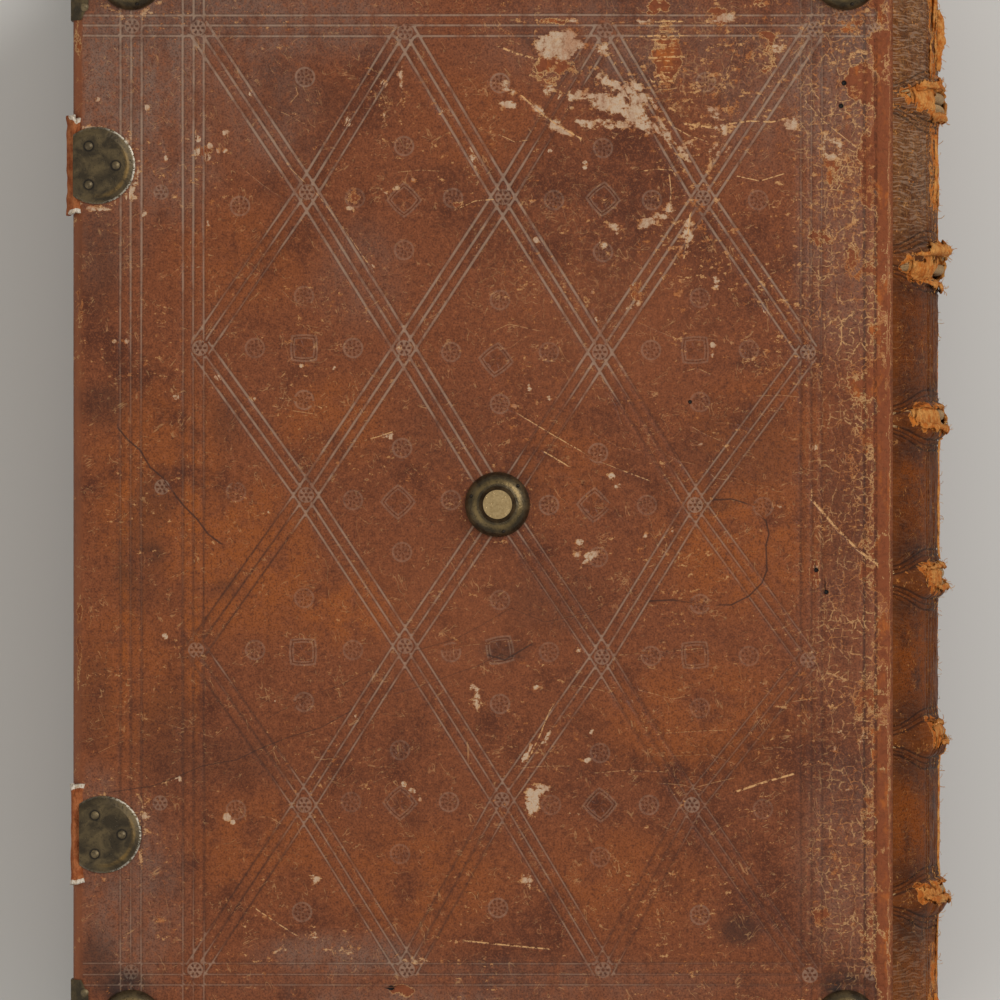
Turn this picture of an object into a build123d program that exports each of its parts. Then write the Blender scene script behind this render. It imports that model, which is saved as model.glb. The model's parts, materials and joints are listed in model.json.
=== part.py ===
from build123d import *
import os
from math import atan2, degrees, hypot, sqrt

# Antique leather book, lying on its front cover with the back cover up.
# X runs from the fore-edge to the spine, Y from tail to head, Z up.
# The origin is on the axis of the front cover's centre boss, at the plane the bosses rest on.

# Covers
cover_width = 294.4
cover_height = 422.0
boss_to_fore_edge = 153.0
board_thickness = 10.0
board_bevel = 3.0
board_corner_radius = 4.5
leather_thickness = 1.2
turn_in_thickness = 0.6
turn_in_width = 18.0
pastedown_thickness = 0.4
pastedown_margin = 6.0

# Text block
text_thickness = 75.0
fore_square = 4.5
head_square = 5.0
fore_edge_hollow = 9.0

# Spine
spine_round = 20.0
lining_thickness = 0.5
lining_margin = 1.5
cap_depth = 7.0

# Sewing supports: six double cords
band_count = 6
band_from_end = 66.5
cord_diameter = 4.2
cord_spacing = 0.2
cord_entry_depth = 5.0
cord_entry_reach = 1.5
slip_length = 34.0
slip_depth = 4.4
slip_corner_radius = 1.4
peg_radius = 3.1

# Clearances
leaf_gap = 0.3
hinge_gap = 0.3
board_gap = 0.5
skin_gap = 0.05
peg_gap = 0.1
nail_gap = 0.05

# Blind tooling
tool_margin_fore = 21.2
tool_margin_spine = 5.4
tool_margin_head = 17.9
frame_step = 22.6
line_pitch = 3.8
groove_width = 1.0
groove_depth = 0.35
lattice_count = 3
rosette_radius = 2.9
square_stamp = 8.6
square_stamp_line = 1.0

# Bosses
boss_radius = 11.7
boss_height = 12.0
boss_rim = 0.8
boss_land = 1.2
boss_shell = 1.3
boss_shoulder_radius = 6.7
boss_shoulder_height = 5.0
boss_bulge = 0.7
knob_radius = 5.2
knob_neck_radius = 4.7
knob_lip = 1.6
shank_radius = 1.5
shank_length = 8.0
back_boss_drop = 1.6
corner_boss_from_fore = 21.2
corner_boss_from_hinge = 16.1
corner_boss_from_head = 23.0

# Strap plates, straps and catch plates
plate_from_centre = 120.4
plate_radius = 13.9
plate_flat_from_axis = 8.5
plate_thickness = 1.6
plate_rim = 0.5
plate_bevel = 2.9
head_plate_inset = 0.2
tail_plate_inset = 2.4
strap_width = 34.0
strap_thickness = 2.2
strap_under_plate = 15.0
strap_drop = 9.0
strap_proud = 2.3
catch_length = 24.0
catch_width = 26.0
catch_thickness = 1.2
catch_lip = 1.4
catch_lip_width = 2.0
catch_inset = 0.6

# Corner guards
guard_thickness = 0.8
guard_arm = 39.0
guard_width = 5.8
guard_tip = 6.0
guard_tip_width = 3.2
guard_inner_radius = 9.0
guard_nail_from_tip = 5.4

# Nails
nail_head_radius = 1.45
nail_head_height = 0.6
nail_shank_radius = 0.75
nail_length = 8.0
nail_tip = 1.5

# Torn leather over the bands, as shares of the band's width and the book's thickness
tear_outline_shares = [
    (-0.30, -0.07), (0.10, -0.10), (0.38, -0.04), (0.33, 0.10), (0.42, 0.22),
    (0.30, 0.33), (0.05, 0.37), (-0.28, 0.34), (-0.41, 0.25), (-0.33, 0.12), (-0.42, 0.02),
]

# Sizes that follow from those above
cut_overrun = leather_thickness
fore_x = -boss_to_fore_edge
hinge_x = fore_x + cover_width
half_height = cover_height / 2
inner_skin = turn_in_thickness + pastedown_thickness
cover_stack = leather_thickness + board_thickness + inner_skin + leaf_gap
outer_thickness = text_thickness + 2 * cover_stack
front_z = boss_height
back_z = boss_height + outer_thickness
middle_z = (front_z + back_z) / 2
board_edge_x = hinge_x - board_gap
shoulder_x = hinge_x + board_gap
leather_edge_x = hinge_x - hinge_gap
board_floor = -leather_thickness - board_thickness
turn_in_floor = board_floor - turn_in_thickness

half_thickness = outer_thickness / 2
spine_radius = (half_thickness**2 + spine_round**2) / (2 * spine_round)
spine_x = hinge_x + spine_round - spine_radius
lining_radius = spine_radius - leather_thickness - skin_gap
text_radius = lining_radius - lining_thickness - skin_gap

cord_radius = cord_diameter / 2
cord_apex_x = spine_x + text_radius + cord_radius + skin_gap
cord_rise = cord_apex_x - hinge_x - cord_entry_reach
cord_half_chord = half_thickness - cord_entry_depth
cord_arc_radius = (cord_half_chord**2 + cord_rise**2) / (2 * cord_rise)
cord_centre_x = cord_apex_x - cord_arc_radius
cord_offset = (cord_diameter + cord_spacing) / 2
channel_width = 2 * cord_offset + cord_diameter + 2 * skin_gap
channel_radius = cord_arc_radius + cord_radius + skin_gap
rib_width = channel_width + 2 * leather_thickness
rib_radius = channel_radius + leather_thickness

text_height = cover_height - 2 * head_square
text_fore_x = fore_x + fore_square
endband_radius = (head_square - leather_thickness - 2 * skin_gap) / 2

spine_axis = Axis((spine_x, 0, middle_z), (0, 1, 0))
cord_axis = Axis((cord_centre_x, 0, middle_z), (0, 1, 0))
section_plane = Plane.XY.offset(middle_z)
band_pitch = (cover_height - 2 * band_from_end) / (band_count - 1)
band_places = [(i - (band_count - 1) / 2) * band_pitch for i in range(band_count)]

back_plane = Plane(origin=(0, 0, back_z), x_dir=(1, 0, 0), z_dir=(0, 0, 1))
front_plane = Plane(origin=(0, 0, front_z), x_dir=(1, 0, 0), z_dir=(0, 0, -1))

os.makedirs("parts", exist_ok=True)


def save(shape, name):
    """Labels one finished piece and writes its file."""
    shape.label = name
    export_step(shape, f"parts/{name}.step")


def corner_rectangle(x0, x1, y0, y1):
    """A rectangle between two corners, in the sketch that is open."""
    with Locations(((x0 + x1) / 2, (y0 + y1) / 2)):
        return Rectangle(x1 - x0, y1 - y0)


def corner_box(plane, x0, x1, y0, y1, z0, z1):
    """A block between two corners, in a cover's own frame."""
    with BuildPart() as block:
        with BuildSketch(plane.offset(z0)):
            corner_rectangle(x0, x1, y0, y1)
        extrude(amount=z1 - z0)
    return block.part


def cover_block(plane, grow, spine_edge, floor):
    """The outline of a cover, grown by a skin, with its three outer edges bevelled."""
    skin = leather_thickness + grow
    outward = Axis(plane.origin, plane.z_dir)
    with BuildPart() as block:
        with BuildSketch(plane.offset(floor)) as outline:
            corner_rectangle(fore_x - grow, spine_edge, -half_height - grow, half_height + grow)
            fore_corners = outline.vertices().group_by(Axis.X)[0]
            fillet(fore_corners, board_corner_radius + skin)
        extrude(amount=grow - floor)
        face_edges = block.faces().sort_by(outward)[-1].edges()
        outer_edges = face_edges.sort_by(Axis.X)[:-1]
        chamfer(outer_edges, board_bevel + skin * (2 - sqrt(2)))
    return block.part


# Envelope that trims everything on the spine to the space between the two hinges
with BuildPart() as spine_envelope:
    with BuildSketch(Plane.XZ):
        corner_rectangle(
            hinge_x + hinge_gap,
            rib_radius + cord_centre_x + cut_overrun,
            front_z + hinge_gap,
            back_z - hinge_gap,
        )
    extrude(amount=half_height, both=True)

with BuildPart() as shoulder_envelope:
    with BuildSketch(Plane.XZ):
        corner_rectangle(shoulder_x, rib_radius + cord_centre_x + cut_overrun, front_z, back_z)
    extrude(amount=half_height, both=True)

# Channels that the double cords lie in
with BuildPart() as cord_channels:
    with BuildSketch(section_plane) as channel_section:
        with Locations(*[(cord_centre_x + cord_arc_radius, y) for y in band_places]):
            Rectangle(2 * (cord_radius + skin_gap), channel_width)
        fillet(channel_section.vertices().group_by(Axis.X)[-1], cord_radius)
    revolve(axis=cord_axis)

# Text block: pages, rounded at the back and hollow at the fore-edge
with BuildPart() as text_block:
    with BuildSketch(Plane.XZ):
        with BuildLine():
            page_low = front_z + cover_stack
            page_high = back_z - cover_stack
            shoulder_rise = sqrt(text_radius**2 - (shoulder_x - spine_x) ** 2)
            ThreePointArc(
                (text_fore_x, page_low), (text_fore_x + fore_edge_hollow, middle_z), (text_fore_x, page_high)
            )
            Polyline(
                (text_fore_x, page_high), (shoulder_x, page_high), (shoulder_x, middle_z + shoulder_rise)
            )
            ThreePointArc(
                (shoulder_x, middle_z + shoulder_rise),
                (spine_x + text_radius, middle_z),
                (shoulder_x, middle_z - shoulder_rise),
            )
            Polyline(
                (shoulder_x, middle_z - shoulder_rise), (shoulder_x, page_low), (text_fore_x, page_low)
            )
        make_face()
    extrude(amount=text_height / 2, both=True)
    add(cord_channels.part, mode=Mode.SUBTRACT)
save(text_block.part, "text_block")

# Sewing supports: a pair of cords at each station
for number, band_y in enumerate(reversed(band_places), start=1):
    with BuildPart() as sewing_support:
        with BuildSketch(section_plane):
            cord_x = cord_centre_x + cord_arc_radius
            with Locations((cord_x, band_y - cord_offset), (cord_x, band_y + cord_offset)):
                Circle(cord_radius)
        revolve(axis=cord_axis)
        add(shoulder_envelope.part, mode=Mode.INTERSECT)
    save(sewing_support.part, f"sewing_support_{number}")

# Linings glued on the back of the text block, between the supports
lining_stop = channel_width / 2 + lining_margin
lining_edges = [-text_height / 2 - lining_stop, *band_places, text_height / 2 + lining_stop]
with BuildPart() as spine_linings:
    with BuildSketch(section_plane):
        for low_y, high_y in zip(lining_edges, lining_edges[1:]):
            corner_rectangle(
                spine_x + text_radius + skin_gap,
                spine_x + lining_radius,
                low_y + lining_stop,
                high_y - lining_stop,
            )
    revolve(axis=spine_axis)
    add(shoulder_envelope.part, mode=Mode.INTERSECT)
save(spine_linings.part, "spine_linings")

# Endbands: a core along the back of the pages at head and tail
for end_name, end_sign in (("head", 1), ("tail", -1)):
    with BuildPart() as endband:
        with BuildSketch(section_plane):
            endband_y = end_sign * (text_height / 2 + skin_gap + endband_radius)
            with Locations((spine_x + text_radius - endband_radius, endband_y)):
                Circle(endband_radius)
        revolve(axis=spine_axis)
        add(shoulder_envelope.part, mode=Mode.INTERSECT)
    save(endband.part, f"{end_name}_endband")

# Spine leather: one skin over the back, the bands and the endbands, torn on the bands
with BuildPart() as spine_core:
    with BuildSketch(section_plane):
        corner_rectangle(
            spine_x,
            spine_x + lining_radius + skin_gap,
            leather_thickness - half_height,
            half_height - leather_thickness,
        )
    revolve(axis=spine_axis)
with BuildPart() as spine_tears:
    with BuildSketch(Plane.YZ.offset(hinge_x)):
        for index, band_y in enumerate(band_places):
            side = 1 if index % 2 else -1
            tear_points = [
                (band_y + side * y_share * rib_width, middle_z + z_share * outer_thickness)
                for y_share, z_share in tear_outline_shares
            ]
            with BuildLine():
                Polyline(*tear_points, close=True)
            make_face()
    extrude(amount=spine_round + rib_width)
with BuildPart() as spine_leather:
    with BuildSketch(section_plane):
        spine_face_x = spine_x + spine_radius
        corner_rectangle(spine_face_x - cap_depth, spine_face_x, -half_height, half_height)
    revolve(axis=spine_axis)
    with BuildSketch(section_plane) as rib_section:
        with Locations(*[(cord_centre_x + rib_radius - cap_depth / 2, y) for y in band_places]):
            Rectangle(cap_depth, rib_width)
        fillet(rib_section.vertices().group_by(Axis.X)[-1], cord_radius + leather_thickness)
    revolve(axis=cord_axis)
    add(spine_core.part, mode=Mode.SUBTRACT)
    add(cord_channels.part, mode=Mode.SUBTRACT)
    add(spine_tears.part, mode=Mode.SUBTRACT)
    add(spine_envelope.part, mode=Mode.INTERSECT)
save(spine_leather.part, "spine_leather")

# Boss: a cast dish with a flat-topped knob and a shank on its axis
with BuildPart() as boss_shape:
    with BuildSketch(Plane.XZ):
        with BuildLine():
            hollow_height = boss_shoulder_height - boss_shell
            flare_height = boss_height - knob_lip - (knob_radius - knob_neck_radius)
            Polyline((0, -shank_length), (0, boss_height), (knob_radius, boss_height),
                     (knob_radius, boss_height - knob_lip), (knob_neck_radius, flare_height))
            neck_middle = knob_neck_radius + (boss_shoulder_radius - knob_neck_radius) / 4
            ThreePointArc(
                (knob_neck_radius, flare_height),
                (neck_middle, (flare_height + boss_shoulder_height) / 2),
                (boss_shoulder_radius, boss_shoulder_height),
            )
            dish_middle = (boss_radius + boss_shoulder_radius) / 2
            dish_height = (boss_rim + boss_shoulder_height) / 2
            ThreePointArc(
                (boss_shoulder_radius, boss_shoulder_height),
                (dish_middle + boss_bulge, dish_height + boss_bulge),
                (boss_radius, boss_rim),
            )
            Polyline((boss_radius, boss_rim), (boss_radius, 0), (boss_radius - boss_land, 0))
            ThreePointArc(
                (boss_radius - boss_land, 0),
                (dish_middle, dish_height - boss_shell / 2),
                (boss_shoulder_radius, hollow_height),
            )
            Polyline((boss_shoulder_radius, hollow_height), (shank_radius, hollow_height),
                     (shank_radius, shank_radius - shank_length), (0, -shank_length))
        make_face()
    revolve(axis=Axis.Z)

# Nail: a domed head on a pointed shank
with BuildPart() as nail_shape:
    with BuildSketch(Plane.XZ):
        with BuildLine():
            Polyline((0, -nail_length), (0, nail_head_height))
            dome_radius = (nail_head_radius**2 + nail_head_height**2) / (2 * nail_head_height)
            dome_side = nail_head_radius / 2
            dome_rise = nail_head_height - dome_radius + sqrt(dome_radius**2 - dome_side**2)
            ThreePointArc((0, nail_head_height), (dome_side, dome_rise), (nail_head_radius, 0))
            Polyline((nail_head_radius, 0), (nail_shank_radius, 0),
                     (nail_shank_radius, nail_tip - nail_length), (0, -nail_length))
        make_face()
    revolve(axis=Axis.Z)

# Places shared by the fittings and the holes under them, in a cover's own frame
corner_boss_y = half_height - corner_boss_from_head
boss_corners = {
    "head_fore": (fore_x + corner_boss_from_fore, corner_boss_y),
    "head_spine": (hinge_x - corner_boss_from_hinge, corner_boss_y),
    "tail_fore": (fore_x + corner_boss_from_fore, -corner_boss_y),
    "tail_spine": (hinge_x - corner_boss_from_hinge, -corner_boss_y),
}
plate_nails = [
    (-plate_radius / 5, plate_radius / 2),
    (-plate_radius / 5, -plate_radius / 2),
    (plate_radius / 2, 0),
]
strap_plates = {
    "head": (fore_x + head_plate_inset + plate_flat_from_axis, plate_from_centre),
    "tail": (fore_x + tail_plate_inset + plate_flat_from_axis, -plate_from_centre),
}
catch_x = fore_x + catch_inset + catch_length / 2
catch_nails = [
    (-catch_length / 6, catch_width / 3),
    (-catch_length / 6, -catch_width / 3),
    (catch_length / 3, 0),
]
catch_plates = {"head": (catch_x, plate_from_centre), "tail": (catch_x, -plate_from_centre)}
guard_nail_reach = guard_arm - guard_nail_from_tip
guard_nails = [
    (fore_x + guard_width / 2 + board_bevel / 2, half_height - guard_nail_reach),
    (fore_x + guard_nail_reach, half_height - guard_width / 2 - board_bevel / 2),
]
guard_nail_places = [(x, side * y) for x, y in guard_nails for side in (1, -1)]


def shifted(centre, offsets):
    """Places round a centre."""
    return [(centre[0] + x, centre[1] + y) for x, y in offsets]


def flipped(places):
    """The same places seen in the front cover's frame, whose Y runs to the tail."""
    return [(x, -y) for x, y in places]


def holes(plane, places, radius, floor):
    """Round holes from above a cover down to a floor, as one tool."""
    with BuildPart() as tool:
        with BuildSketch(plane.offset(floor)):
            with Locations(*places):
                Circle(radius)
        extrude(amount=guard_thickness + cut_overrun - floor)
    return tool.part


def placed(plane, places, shape, height):
    """Copies of a fitting standing on a cover at some height above its leather."""
    with BuildPart() as group:
        with Locations(*[plane.location * Location((x, y, height)) for x, y in places]):
            add(shape)
    return group.part


def strap_recess(clearance):
    """The space that a strap's end takes at the edge of the back cover."""
    recess = strap_thickness + clearance
    inner_x = {name: x - plate_flat_from_axis + strap_under_plate for name, (x, y) in strap_plates.items()}
    with BuildPart() as tool:
        for name, (x, y) in strap_plates.items():
            with BuildSketch(Plane.XZ.offset(-y)):
                with BuildLine():
                    Polyline(
                        (inner_x[name] + clearance, back_z),
                        (inner_x[name] + clearance, back_z - recess),
                        (fore_x + board_bevel + recess, back_z - recess),
                        (fore_x + recess, back_z - recess - board_bevel),
                        (fore_x + recess, back_z - recess - strap_drop - clearance),
                        (fore_x - strap_proud, back_z - recess - strap_drop - clearance),
                        (fore_x - strap_proud, back_z - board_bevel),
                        (fore_x - strap_proud + board_bevel, back_z),
                        close=True,
                    )
                make_face()
            extrude(amount=strap_width / 2 + clearance, both=True)
    return tool.part


def tooled_lines(plane, lattice):
    """Blind tooling pressed into a cover's leather, as one shallow tool."""
    left, right = fore_x + tool_margin_fore, hinge_x - tool_margin_spine
    top = half_height - tool_margin_head
    inner_left, inner_right = left + frame_step, right - frame_step
    inner_top = top - frame_step
    offsets = [-line_pitch, 0, line_pitch]
    vertical_x = [x + d for x in (left, inner_left, inner_right, right) for d in offsets]
    horizontal_y = [y + d for y in (-top, -inner_top, inner_top, top) for d in offsets]
    if not lattice:
        vertical_x = [x + d for x in (left, right) for d in offsets]
        horizontal_y = [y + d for y in (-top, top) for d in offsets]
    cell_x = (inner_right - inner_left) / lattice_count
    cell_y = 2 * inner_top / lattice_count
    slope = degrees(atan2(cell_y, cell_x))
    diagonal = hypot(inner_right - inner_left, 2 * inner_top)
    shift = line_pitch * hypot(cell_x, cell_y) / cell_y
    middle_x = (inner_left + inner_right) / 2
    starts = [
        middle_x + k * cell_x + d * shift / line_pitch
        for k in range(1 - lattice_count, lattice_count)
        for d in offsets
    ]
    node_places = [
        (inner_left + i * cell_x / 2, -inner_top + j * cell_y / 2)
        for i in range(2 * lattice_count + 1)
        for j in range(2 * lattice_count + 1)
        if (i + j) % 2 == 0 and (i, j) != (lattice_count, lattice_count)
    ]
    stamp_places = [
        (inner_left + i * cell_x / 2, -inner_top + j * cell_y / 2)
        for i in range(1, 2 * lattice_count)
        for j in range(1, 2 * lattice_count)
        if (i + j) % 2 == 1
    ]
    with BuildPart() as tool:
        with BuildSketch(plane.offset(-groove_depth)) as lines:
            if lattice:
                turns = (slope, -slope)
                with Locations(*[Location((x, 0, 0), (0, 0, turn)) for x in starts for turn in turns]):
                    Rectangle(2 * diagonal, groove_width)
                with Locations((middle_x, 0)):
                    Rectangle(inner_right - inner_left, 2 * inner_top, mode=Mode.INTERSECT)
            with Locations(*[(x, 0) for x in vertical_x]):
                Rectangle(groove_width, 2 * (top + line_pitch) + groove_width)
            with Locations(*[((left + right) / 2, y) for y in horizontal_y]):
                Rectangle(right - left + 2 * line_pitch + groove_width, groove_width)
            if lattice:
                with Locations(*node_places):
                    Circle(rosette_radius)
                with Locations(*stamp_places):
                    Rectangle(square_stamp, square_stamp)
                    inner_side = square_stamp - 2 * square_stamp_line
                    Rectangle(inner_side, inner_side, mode=Mode.SUBTRACT)
        extrude(amount=groove_depth + cut_overrun, clean=False)
    return tool.part


def channel_tool(plane, places, clearance):
    """Channels in a board's outer face for the flattened ends of the cords."""
    width = channel_width - 2 * skin_gap + 2 * clearance
    depth = slip_depth + clearance
    with BuildPart() as tool:
        with BuildSketch(plane.offset(-leather_thickness - depth)) as ends:
            centre_x = board_edge_x - (slip_length + clearance) / 2
            with Locations(*[(centre_x, y) for y in places]):
                Rectangle(slip_length + clearance, width)
            fillet(ends.vertices().group_by(Axis.X)[0], slip_corner_radius)
        extrude(amount=depth)
    return tool.part


def build_cover(name, plane, boss_places, nail_places, straps, lattice):
    """Writes the board, leather, pastedown, slips and pegs of one cover."""
    block = cover_block(plane, -leather_thickness, board_edge_x, board_floor)
    envelope = cover_block(plane, 0, leather_edge_x, turn_in_floor)
    peg_places = [(board_edge_x - slip_length + 2 * peg_radius, y) for y in band_places]
    recess = strap_recess(0) if straps else None

    with BuildPart() as board:
        add(block)
        add(channel_tool(plane, band_places, 0), mode=Mode.SUBTRACT)
        add(holes(plane, peg_places, peg_radius + peg_gap, board_floor - cut_overrun), mode=Mode.SUBTRACT)
        shank_floor = -shank_length - nail_gap
        add(holes(plane, boss_places, shank_radius + nail_gap, shank_floor), mode=Mode.SUBTRACT)
        point_floor = -nail_length - nail_gap
        add(holes(plane, nail_places, nail_shank_radius + nail_gap, point_floor), mode=Mode.SUBTRACT)
        if recess:
            add(recess, mode=Mode.SUBTRACT)
    save(board.part, f"{name}_board")

    with BuildPart() as leather:
        add(envelope)
        add(block, mode=Mode.SUBTRACT)
        edge_gap = corner_box(plane, board_edge_x, hinge_x, -cover_height, cover_height,
                              turn_in_floor - cut_overrun, -leather_thickness)
        add(edge_gap, mode=Mode.SUBTRACT)
        window_y = half_height - turn_in_width
        window = corner_box(plane, fore_x + turn_in_width, hinge_x, -window_y, window_y,
                            turn_in_floor - cut_overrun, board_floor)
        add(window, mode=Mode.SUBTRACT)
        add(holes(plane, boss_places, shank_radius + nail_gap, -leather_thickness), mode=Mode.SUBTRACT)
        nail_floor = -leather_thickness - board_bevel
        add(holes(plane, nail_places, nail_shank_radius + nail_gap, nail_floor), mode=Mode.SUBTRACT)
        if recess:
            add(recess, mode=Mode.SUBTRACT)
        add(tooled_lines(plane, lattice), mode=Mode.SUBTRACT, clean=False)
    save(leather.part, f"{name}_leather")

    sheet_y = half_height - pastedown_margin
    pad_y = window_y - skin_gap
    with BuildPart() as pastedown:
        add(corner_box(plane, fore_x + pastedown_margin, board_edge_x, -sheet_y, sheet_y,
                       turn_in_floor - pastedown_thickness, turn_in_floor))
        add(corner_box(plane, fore_x + turn_in_width + skin_gap, board_edge_x, -pad_y, pad_y,
                       turn_in_floor, board_floor))
    save(pastedown.part, f"{name}_pastedown")

    save(channel_tool(plane, band_places, -skin_gap), f"{name}_board_slips")

    with BuildPart() as pegs:
        with BuildSketch(plane.offset(board_floor)):
            with Locations(*peg_places):
                Circle(peg_radius)
        extrude(amount=board_thickness - slip_depth)
    save(pegs.part, f"{name}_board_pegs")


def build_guards(name, plane, sides):
    """Writes the folded brass guards on a cover's two fore-edge corners."""
    skin = cover_block(plane, guard_thickness, leather_edge_x, turn_in_floor)
    core = cover_block(plane, 0, leather_edge_x, turn_in_floor)
    for end_name, side in sides.items():
        with BuildPart() as guard:
            with BuildSketch(plane.offset(turn_in_floor)) as arms:
                with BuildLine():
                    edge_x, edge_y = fore_x - guard_thickness, half_height + guard_thickness
                    face = guard_width + guard_thickness
                    tip = guard_tip_width + guard_thickness
                    Polyline(
                        *[
                            (edge_x + dx, side * (edge_y - dy))
                            for dx, dy in (
                                (0, 0), (guard_arm, 0), (guard_arm, tip), (guard_arm - guard_tip, face),
                                (face, face), (face, guard_arm - guard_tip), (tip, guard_arm), (0, guard_arm),
                            )
                        ],
                        close=True,
                    )
                make_face()
                inner_corner = arms.vertices().sort_by_distance((edge_x + face, side * (edge_y - face), 0))[0]
                fillet(inner_corner, guard_inner_radius)
            extrude(amount=guard_thickness - turn_in_floor)
            add(skin, mode=Mode.INTERSECT)
            add(core, mode=Mode.SUBTRACT)
            end_nails = [(x, side * y) for x, y in guard_nails]
            add(holes(plane, end_nails, nail_shank_radius + nail_gap, turn_in_floor / 2), mode=Mode.SUBTRACT)
        save(guard.part, f"{name}_corner_guard_{end_name}")
    save(placed(plane, guard_nail_places, nail_shape.part, guard_thickness), f"{name}_guard_nails")


# Back cover, which faces up
back_centre_boss = (0, -back_boss_drop)
strap_nail_places = [place for centre in strap_plates.values() for place in shifted(centre, plate_nails)]
build_cover("back", back_plane, [back_centre_boss, *boss_corners.values()],
            [*strap_nail_places, *guard_nail_places], straps=True, lattice=True)
build_guards("back", back_plane, {"head": 1, "tail": -1})
save(placed(back_plane, [back_centre_boss], boss_shape.part, 0), "back_boss_centre")
for corner, place in boss_corners.items():
    save(placed(back_plane, [place], boss_shape.part, 0), f"back_boss_{corner}")

# Strap plates: a bevelled disc cut straight at the fore-edge, over the stub of each strap
straps_left = strap_recess(-skin_gap)
for end_name, centre in strap_plates.items():
    with BuildPart() as strap_plate:
        with BuildSketch(Plane.XZ):
            with BuildLine():
                Polyline((0, 0), (plate_radius, 0), (plate_radius, plate_rim),
                         (plate_radius - plate_bevel, plate_thickness), (0, plate_thickness), close=True)
            make_face()
        revolve(axis=Axis.Z)
    plate_blank = strap_plate.part.moved(Location((centre[0], centre[1], back_z)))
    with BuildPart() as finished_plate:
        add(plate_blank)
        flat_x = centre[0] - plate_flat_from_axis
        add(corner_box(back_plane, flat_x - plate_radius, flat_x,
                       centre[1] - plate_radius, centre[1] + plate_radius,
                       -cut_overrun, plate_thickness + cut_overrun), mode=Mode.SUBTRACT)
        add(holes(back_plane, shifted(centre, plate_nails), nail_shank_radius + nail_gap, -cut_overrun),
            mode=Mode.SUBTRACT)
    save(finished_plate.part, f"strap_plate_{end_name}")
    save(placed(back_plane, shifted(centre, plate_nails), nail_shape.part, plate_thickness),
         f"strap_plate_nails_{end_name}")
    with BuildPart() as strap_stub:
        add(straps_left.solids().sort_by(Axis.Y)[-1 if end_name == "head" else 0])
        add(holes(back_plane, shifted(centre, plate_nails), nail_shank_radius + nail_gap, -nail_length),
            mode=Mode.SUBTRACT)
    save(strap_stub.part, f"strap_stub_{end_name}")

# Front cover, which faces down, with the plates that the clasps caught on
front_boss_places = [(0, 0), *boss_corners.values()]
catch_nail_places = [place for centre in catch_plates.values() for place in shifted(centre, catch_nails)]
build_cover("front", front_plane, front_boss_places, [*catch_nail_places, *guard_nail_places],
            straps=False, lattice=False)
build_guards("front", front_plane, {"head": -1, "tail": 1})
save(placed(front_plane, [(0, 0)], boss_shape.part, 0), "front_boss_centre")
for corner, place in boss_corners.items():
    save(placed(front_plane, flipped([place]), boss_shape.part, 0), f"front_boss_{corner}")
for end_name, centre in catch_plates.items():
    spot = flipped([centre])[0]
    with BuildPart() as catch_plate:
        with BuildSketch(front_plane) as catch_outline:
            with Locations(spot):
                Rectangle(catch_length, catch_width)
            fillet(catch_outline.vertices().group_by(Axis.X)[-1], catch_width / 3)
        extrude(amount=catch_thickness)
        add(corner_box(front_plane, spot[0] - catch_length / 2, spot[0] - catch_length / 2 + catch_lip_width,
                       spot[1] - catch_width / 2, spot[1] + catch_width / 2, catch_thickness,
                       catch_thickness + catch_lip))
        add(holes(front_plane, shifted(spot, catch_nails), nail_shank_radius + nail_gap, -cut_overrun),
            mode=Mode.SUBTRACT)
    save(catch_plate.part, f"catch_plate_{end_name}")
    save(placed(front_plane, shifted(spot, catch_nails), nail_shape.part, catch_thickness),
         f"catch_plate_nails_{end_name}")
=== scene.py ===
import json
import logging
from dataclasses import dataclass, field
from enum import Enum
from math import atan2, cos, hypot, pi, radians, sin, sqrt
from typing import Callable, Iterable, Sequence

import bmesh
import bpy
import numpy as np
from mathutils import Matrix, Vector
from mathutils.geometry import delaunay_2d_cdt


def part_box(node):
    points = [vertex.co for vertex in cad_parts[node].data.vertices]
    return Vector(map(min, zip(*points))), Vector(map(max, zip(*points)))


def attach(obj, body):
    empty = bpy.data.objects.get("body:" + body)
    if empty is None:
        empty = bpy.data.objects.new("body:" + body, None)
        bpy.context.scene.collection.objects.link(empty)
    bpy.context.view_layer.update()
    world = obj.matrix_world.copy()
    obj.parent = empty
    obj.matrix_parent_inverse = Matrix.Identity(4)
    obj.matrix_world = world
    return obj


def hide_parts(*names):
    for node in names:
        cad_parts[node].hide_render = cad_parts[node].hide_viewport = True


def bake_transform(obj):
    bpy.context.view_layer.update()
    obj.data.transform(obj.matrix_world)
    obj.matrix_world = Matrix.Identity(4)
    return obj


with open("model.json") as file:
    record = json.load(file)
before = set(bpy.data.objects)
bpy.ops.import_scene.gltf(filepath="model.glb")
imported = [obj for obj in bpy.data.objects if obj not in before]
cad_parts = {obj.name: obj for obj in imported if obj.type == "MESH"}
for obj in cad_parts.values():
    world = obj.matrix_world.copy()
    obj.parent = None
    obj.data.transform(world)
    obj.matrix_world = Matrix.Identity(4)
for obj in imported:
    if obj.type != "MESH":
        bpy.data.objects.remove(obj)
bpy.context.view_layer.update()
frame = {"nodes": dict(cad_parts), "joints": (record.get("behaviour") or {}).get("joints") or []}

log = logging.getLogger("antique_book")

MM = 0.001
MIDDLE_HEIGHT = 0.062  # of the closed book, in metres
MM_PER_PIXEL = 0.36
PIXEL_X_AT_ORIGIN = 497.5
PIXEL_Y_AT_ORIGIN = 500.0

Point = tuple[float, float]
Colour = tuple[float, float, float, float]
Material = bpy.types.Material
Node = bpy.types.Node
Object = bpy.types.Object
Socket = bpy.types.NodeSocket
Tree = bpy.types.NodeTree

FLOAT = "NodeSocketFloat"
VECTOR = "NodeSocketVector"
GEOMETRY = "NodeSocketGeometry"
INTEGER = "NodeSocketInt"
MATERIAL = "NodeSocketMaterial"


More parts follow.
